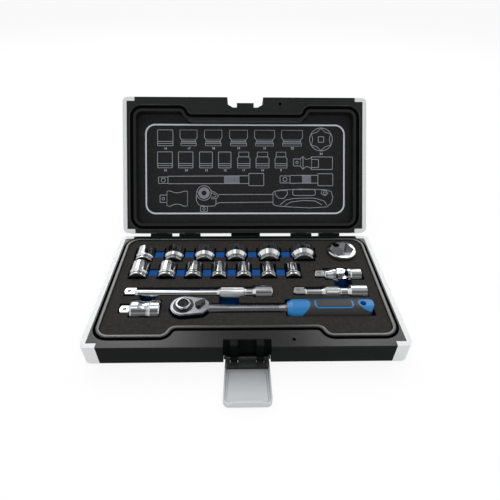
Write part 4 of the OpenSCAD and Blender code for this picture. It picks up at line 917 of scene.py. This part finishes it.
# Places of the size numbers under the drawings
LABELS = {16: (-98.3, 104.6), 17: (-69.5, 104.6), 18: (-39.3, 104.9), 19: (-8.4, 105),
          21: (24.2, 105.1), 22: (58.4, 105.2), 24: (94.2, 98.4), 15: (-98.7, 77.6),
          14: (-73, 77.7), 13: (-48.2, 77.7), 12: (-25.1, 77.8), 11: (-2, 77.8),
          10: (21.3, 77.8), 9: (44.3, 77.9)}
numbers = bmesh.new()
for size, (x, v) in LABELS.items():
    digits = number_mesh(str(size), LABEL_HEIGHT, INK_THICK)
    start = len(numbers.verts)
    numbers.from_mesh(digits)
    numbers.verts.ensure_lookup_table()
    for vert in numbers.verts[start:]:
        vert.co = on_pad(x + vert.co.x, v + vert.co.y, INK_PROUD + vert.co.z)
    bpy.data.meshes.remove(digits)
bmesh.ops.remove_doubles(numbers, verts=numbers.verts, dist=SAME_POINT)
object_from(mesh_from(numbers, "print_numbers"), "print_numbers", "lid",
            PRINT_INK)


# ---------- Studio ----------
# The studio is laid out in metres.
TABLE_HALF, TABLE_TOP = 4.0, -0.0004
# The share of the table that glows plain white; the rest of it takes the shadows
TABLE_GLOW = 0.84
# Brightness of the room that metal mirrors, by the angle over the table in degrees,
# from the camera's side (0) up over the top (90) to the far side (180)
WALLS = ((0, 0.12), (25, 0.16), (36, 0.42), (47, 0.2), (59, 0.1), (74, 0.3), (88, 0.6),
         (112, 0.6), (130, 0.5), (180, 0.5))
# The side walls, from one share of a full turn sideways to another, and their light
SIDE_START, SIDE_END, SIDE_LIGHT = 0.35, 0.7, 0.7
# The room's light on everything that doesn't mirror it
ROOM_LIGHT = 0.66


def studio_floor():
    """A white table that keeps the case's soft shadow."""
    material, tree = new_material("white table")
    rays = add(tree, "ShaderNodeLightPath")
    seen = add(tree, "ShaderNodeMath", {0: rays.outputs["Is Camera Ray"],
                                        1: rays.outputs["Is Glossy Ray"]}, operation="MAXIMUM")
    matt = add(tree, "ShaderNodeBsdfDiffuse", values={"Color": srgb("#d8d8d8")})
    pale = add(tree, "ShaderNodeBsdfDiffuse", values={"Color": srgb("#ffffff")})
    glow = add(tree, "ShaderNodeEmission", {"Strength": seen.outputs[0]},
               {"Color": srgb("#ffffff")})
    both = add(tree, "ShaderNodeMixShader",
               {1: pale.outputs[0], 2: glow.outputs[0]}, {0: TABLE_GLOW})
    plain = add(tree, "ShaderNodeMixShader",
                {0: seen.outputs[0], 1: matt.outputs[0], 2: both.outputs[0]})
    add(tree, "ShaderNodeOutputMaterial", {"Surface": plain.outputs[0]})
    mesh = bpy.data.meshes.new("table")
    corners = [(x * TABLE_HALF, y * TABLE_HALF, TABLE_TOP)
               for x, y in ((-1, -1), (1, -1), (1, 1), (-1, 1))]
    mesh.from_pydata(corners, [], [(0, 1, 2, 3)])
    mesh.materials.append(material)
    placed("table", mesh)


def studio_world():
    """A white studio, whose camera side is a dim room that only reflections show."""
    world = bpy.data.worlds.new("studio")
    bpy.context.scene.world = world
    world.use_nodes = True
    tree = world.node_tree
    tree.nodes.clear()
    rays = add(tree, "ShaderNodeLightPath")
    place = add(tree, "ShaderNodeTexCoord")
    part = add(tree, "ShaderNodeSeparateXYZ", {"Vector": place.outputs["Generated"]})
    ahead = add(tree, "ShaderNodeMath", {0: part.outputs["Y"]}, {1: -1.0},
                operation="MULTIPLY")
    turn = add(tree, "ShaderNodeMath", {0: part.outputs["Z"], 1: ahead.outputs[0]},
               operation="ARCTAN2")
    share = add(tree, "ShaderNodeMath", {0: turn.outputs[0]}, {1: math.pi},
                operation="DIVIDE")
    room = add(tree, "ShaderNodeValToRGB", {"Fac": share.outputs[0]})
    grey_steps(room.color_ramp, [(angle / 180, level) for angle, level in WALLS])
    aside = add(tree, "ShaderNodeMath", {0: part.outputs["X"]}, operation="ABSOLUTE")
    sides = add(tree, "ShaderNodeMapRange", {"Value": aside.outputs[0]},
                {"From Min": SIDE_START, "From Max": SIDE_END, "To Min": 0.0,
                 "To Max": SIDE_LIGHT}, interpolation_type="SMOOTHSTEP")
    walls = add(tree, "ShaderNodeMath", {0: room.outputs["Color"],
                                         1: sides.outputs["Result"]}, operation="ADD")
    plain = add(tree, "ShaderNodeMix", {0: rays.outputs["Is Glossy Ray"],
                                        3: walls.outputs[0]}, {2: ROOM_LIGHT})
    seen = add(tree, "ShaderNodeMath", {0: rays.outputs["Is Camera Ray"],
                                        1: rays.outputs["Is Transmission Ray"]},
               operation="MAXIMUM")
    strength = add(tree, "ShaderNodeMix", {0: seen.outputs[0], 2: plain.outputs[0]},
                   {3: 1.0})
    sky = add(tree, "ShaderNodeBackground", {"Strength": strength.outputs[0]},
              {"Color": srgb("#ffffff")})
    add(tree, "ShaderNodeOutputWorld", {"Surface": sky.outputs[0]})


def softbox(name, place, target, size, watts, mirrored=True):
    """A rectangular lamp that faces its target, seen in metal or not."""
    light = bpy.data.lights.new(name, "AREA")
    light.shape = "RECTANGLE"
    light.size, light.size_y = size
    light.energy = watts
    lamp = placed(name, light)
    lamp.location = place
    lamp.visible_glossy = mirrored
    aim = Vector(target) - Vector(place)
    lamp.rotation_euler = aim.to_track_quat("-Z", "Y").to_euler()


# The camera's place in mm, how it is turned, tipped and rolled in radians, and its
# focal length as a share of the picture's width
CAMERA_AT = (-4.4755, -295.9507, 299.964)
YAW, PITCH, ROLL, FOCAL_SHARE = 0.0265, 0.6683, -0.0138, 0.778


def studio_camera():
    """The viewing angle: 38 degrees down, from just left of the middle."""
    ahead = Vector((math.sin(YAW) * math.cos(PITCH), math.cos(YAW) * math.cos(PITCH),
                    -math.sin(PITCH)))
    right = Vector((math.cos(YAW), -math.sin(YAW), 0))
    down = -right.cross(ahead)
    across = right * math.cos(ROLL) + down * math.sin(ROLL)
    below = down * math.cos(ROLL) - right * math.sin(ROLL)
    lens = bpy.data.cameras.new("camera")
    lens.sensor_width = 36
    lens.lens = FOCAL_SHARE * lens.sensor_width
    lens.clip_start = 0.01
    camera = placed("camera", lens)
    camera.matrix_world = (Matrix.Translation(Vector(CAMERA_AT) * MM)
                           @ Matrix((across, -below, -ahead)).transposed().to_4x4())
    bpy.context.scene.camera = camera


studio_floor()
studio_world()
softbox("top softbox", place=(-0.25, 0.17, 1.4), target=(0, 0, 0), size=(0.7, 0.42),
        watts=1.5)
softbox("back left softbox", place=(-0.6, 1.08, 1.05), target=(0, 0, 0.02),
        size=(0.5, 0.85), watts=4.6)
softbox("back right softbox", place=(0.63, 1.02, 1.0), target=(0, 0, 0.02),
        size=(0.45, 0.8), watts=3.5)
softbox("front fill", place=(0.2, -1.5, 1.1), target=(0, 0.1, 0.08), size=(1.2, 0.8),
        watts=9, mirrored=False)
studio_camera()
bpy.context.scene.view_settings.view_transform = "Standard"
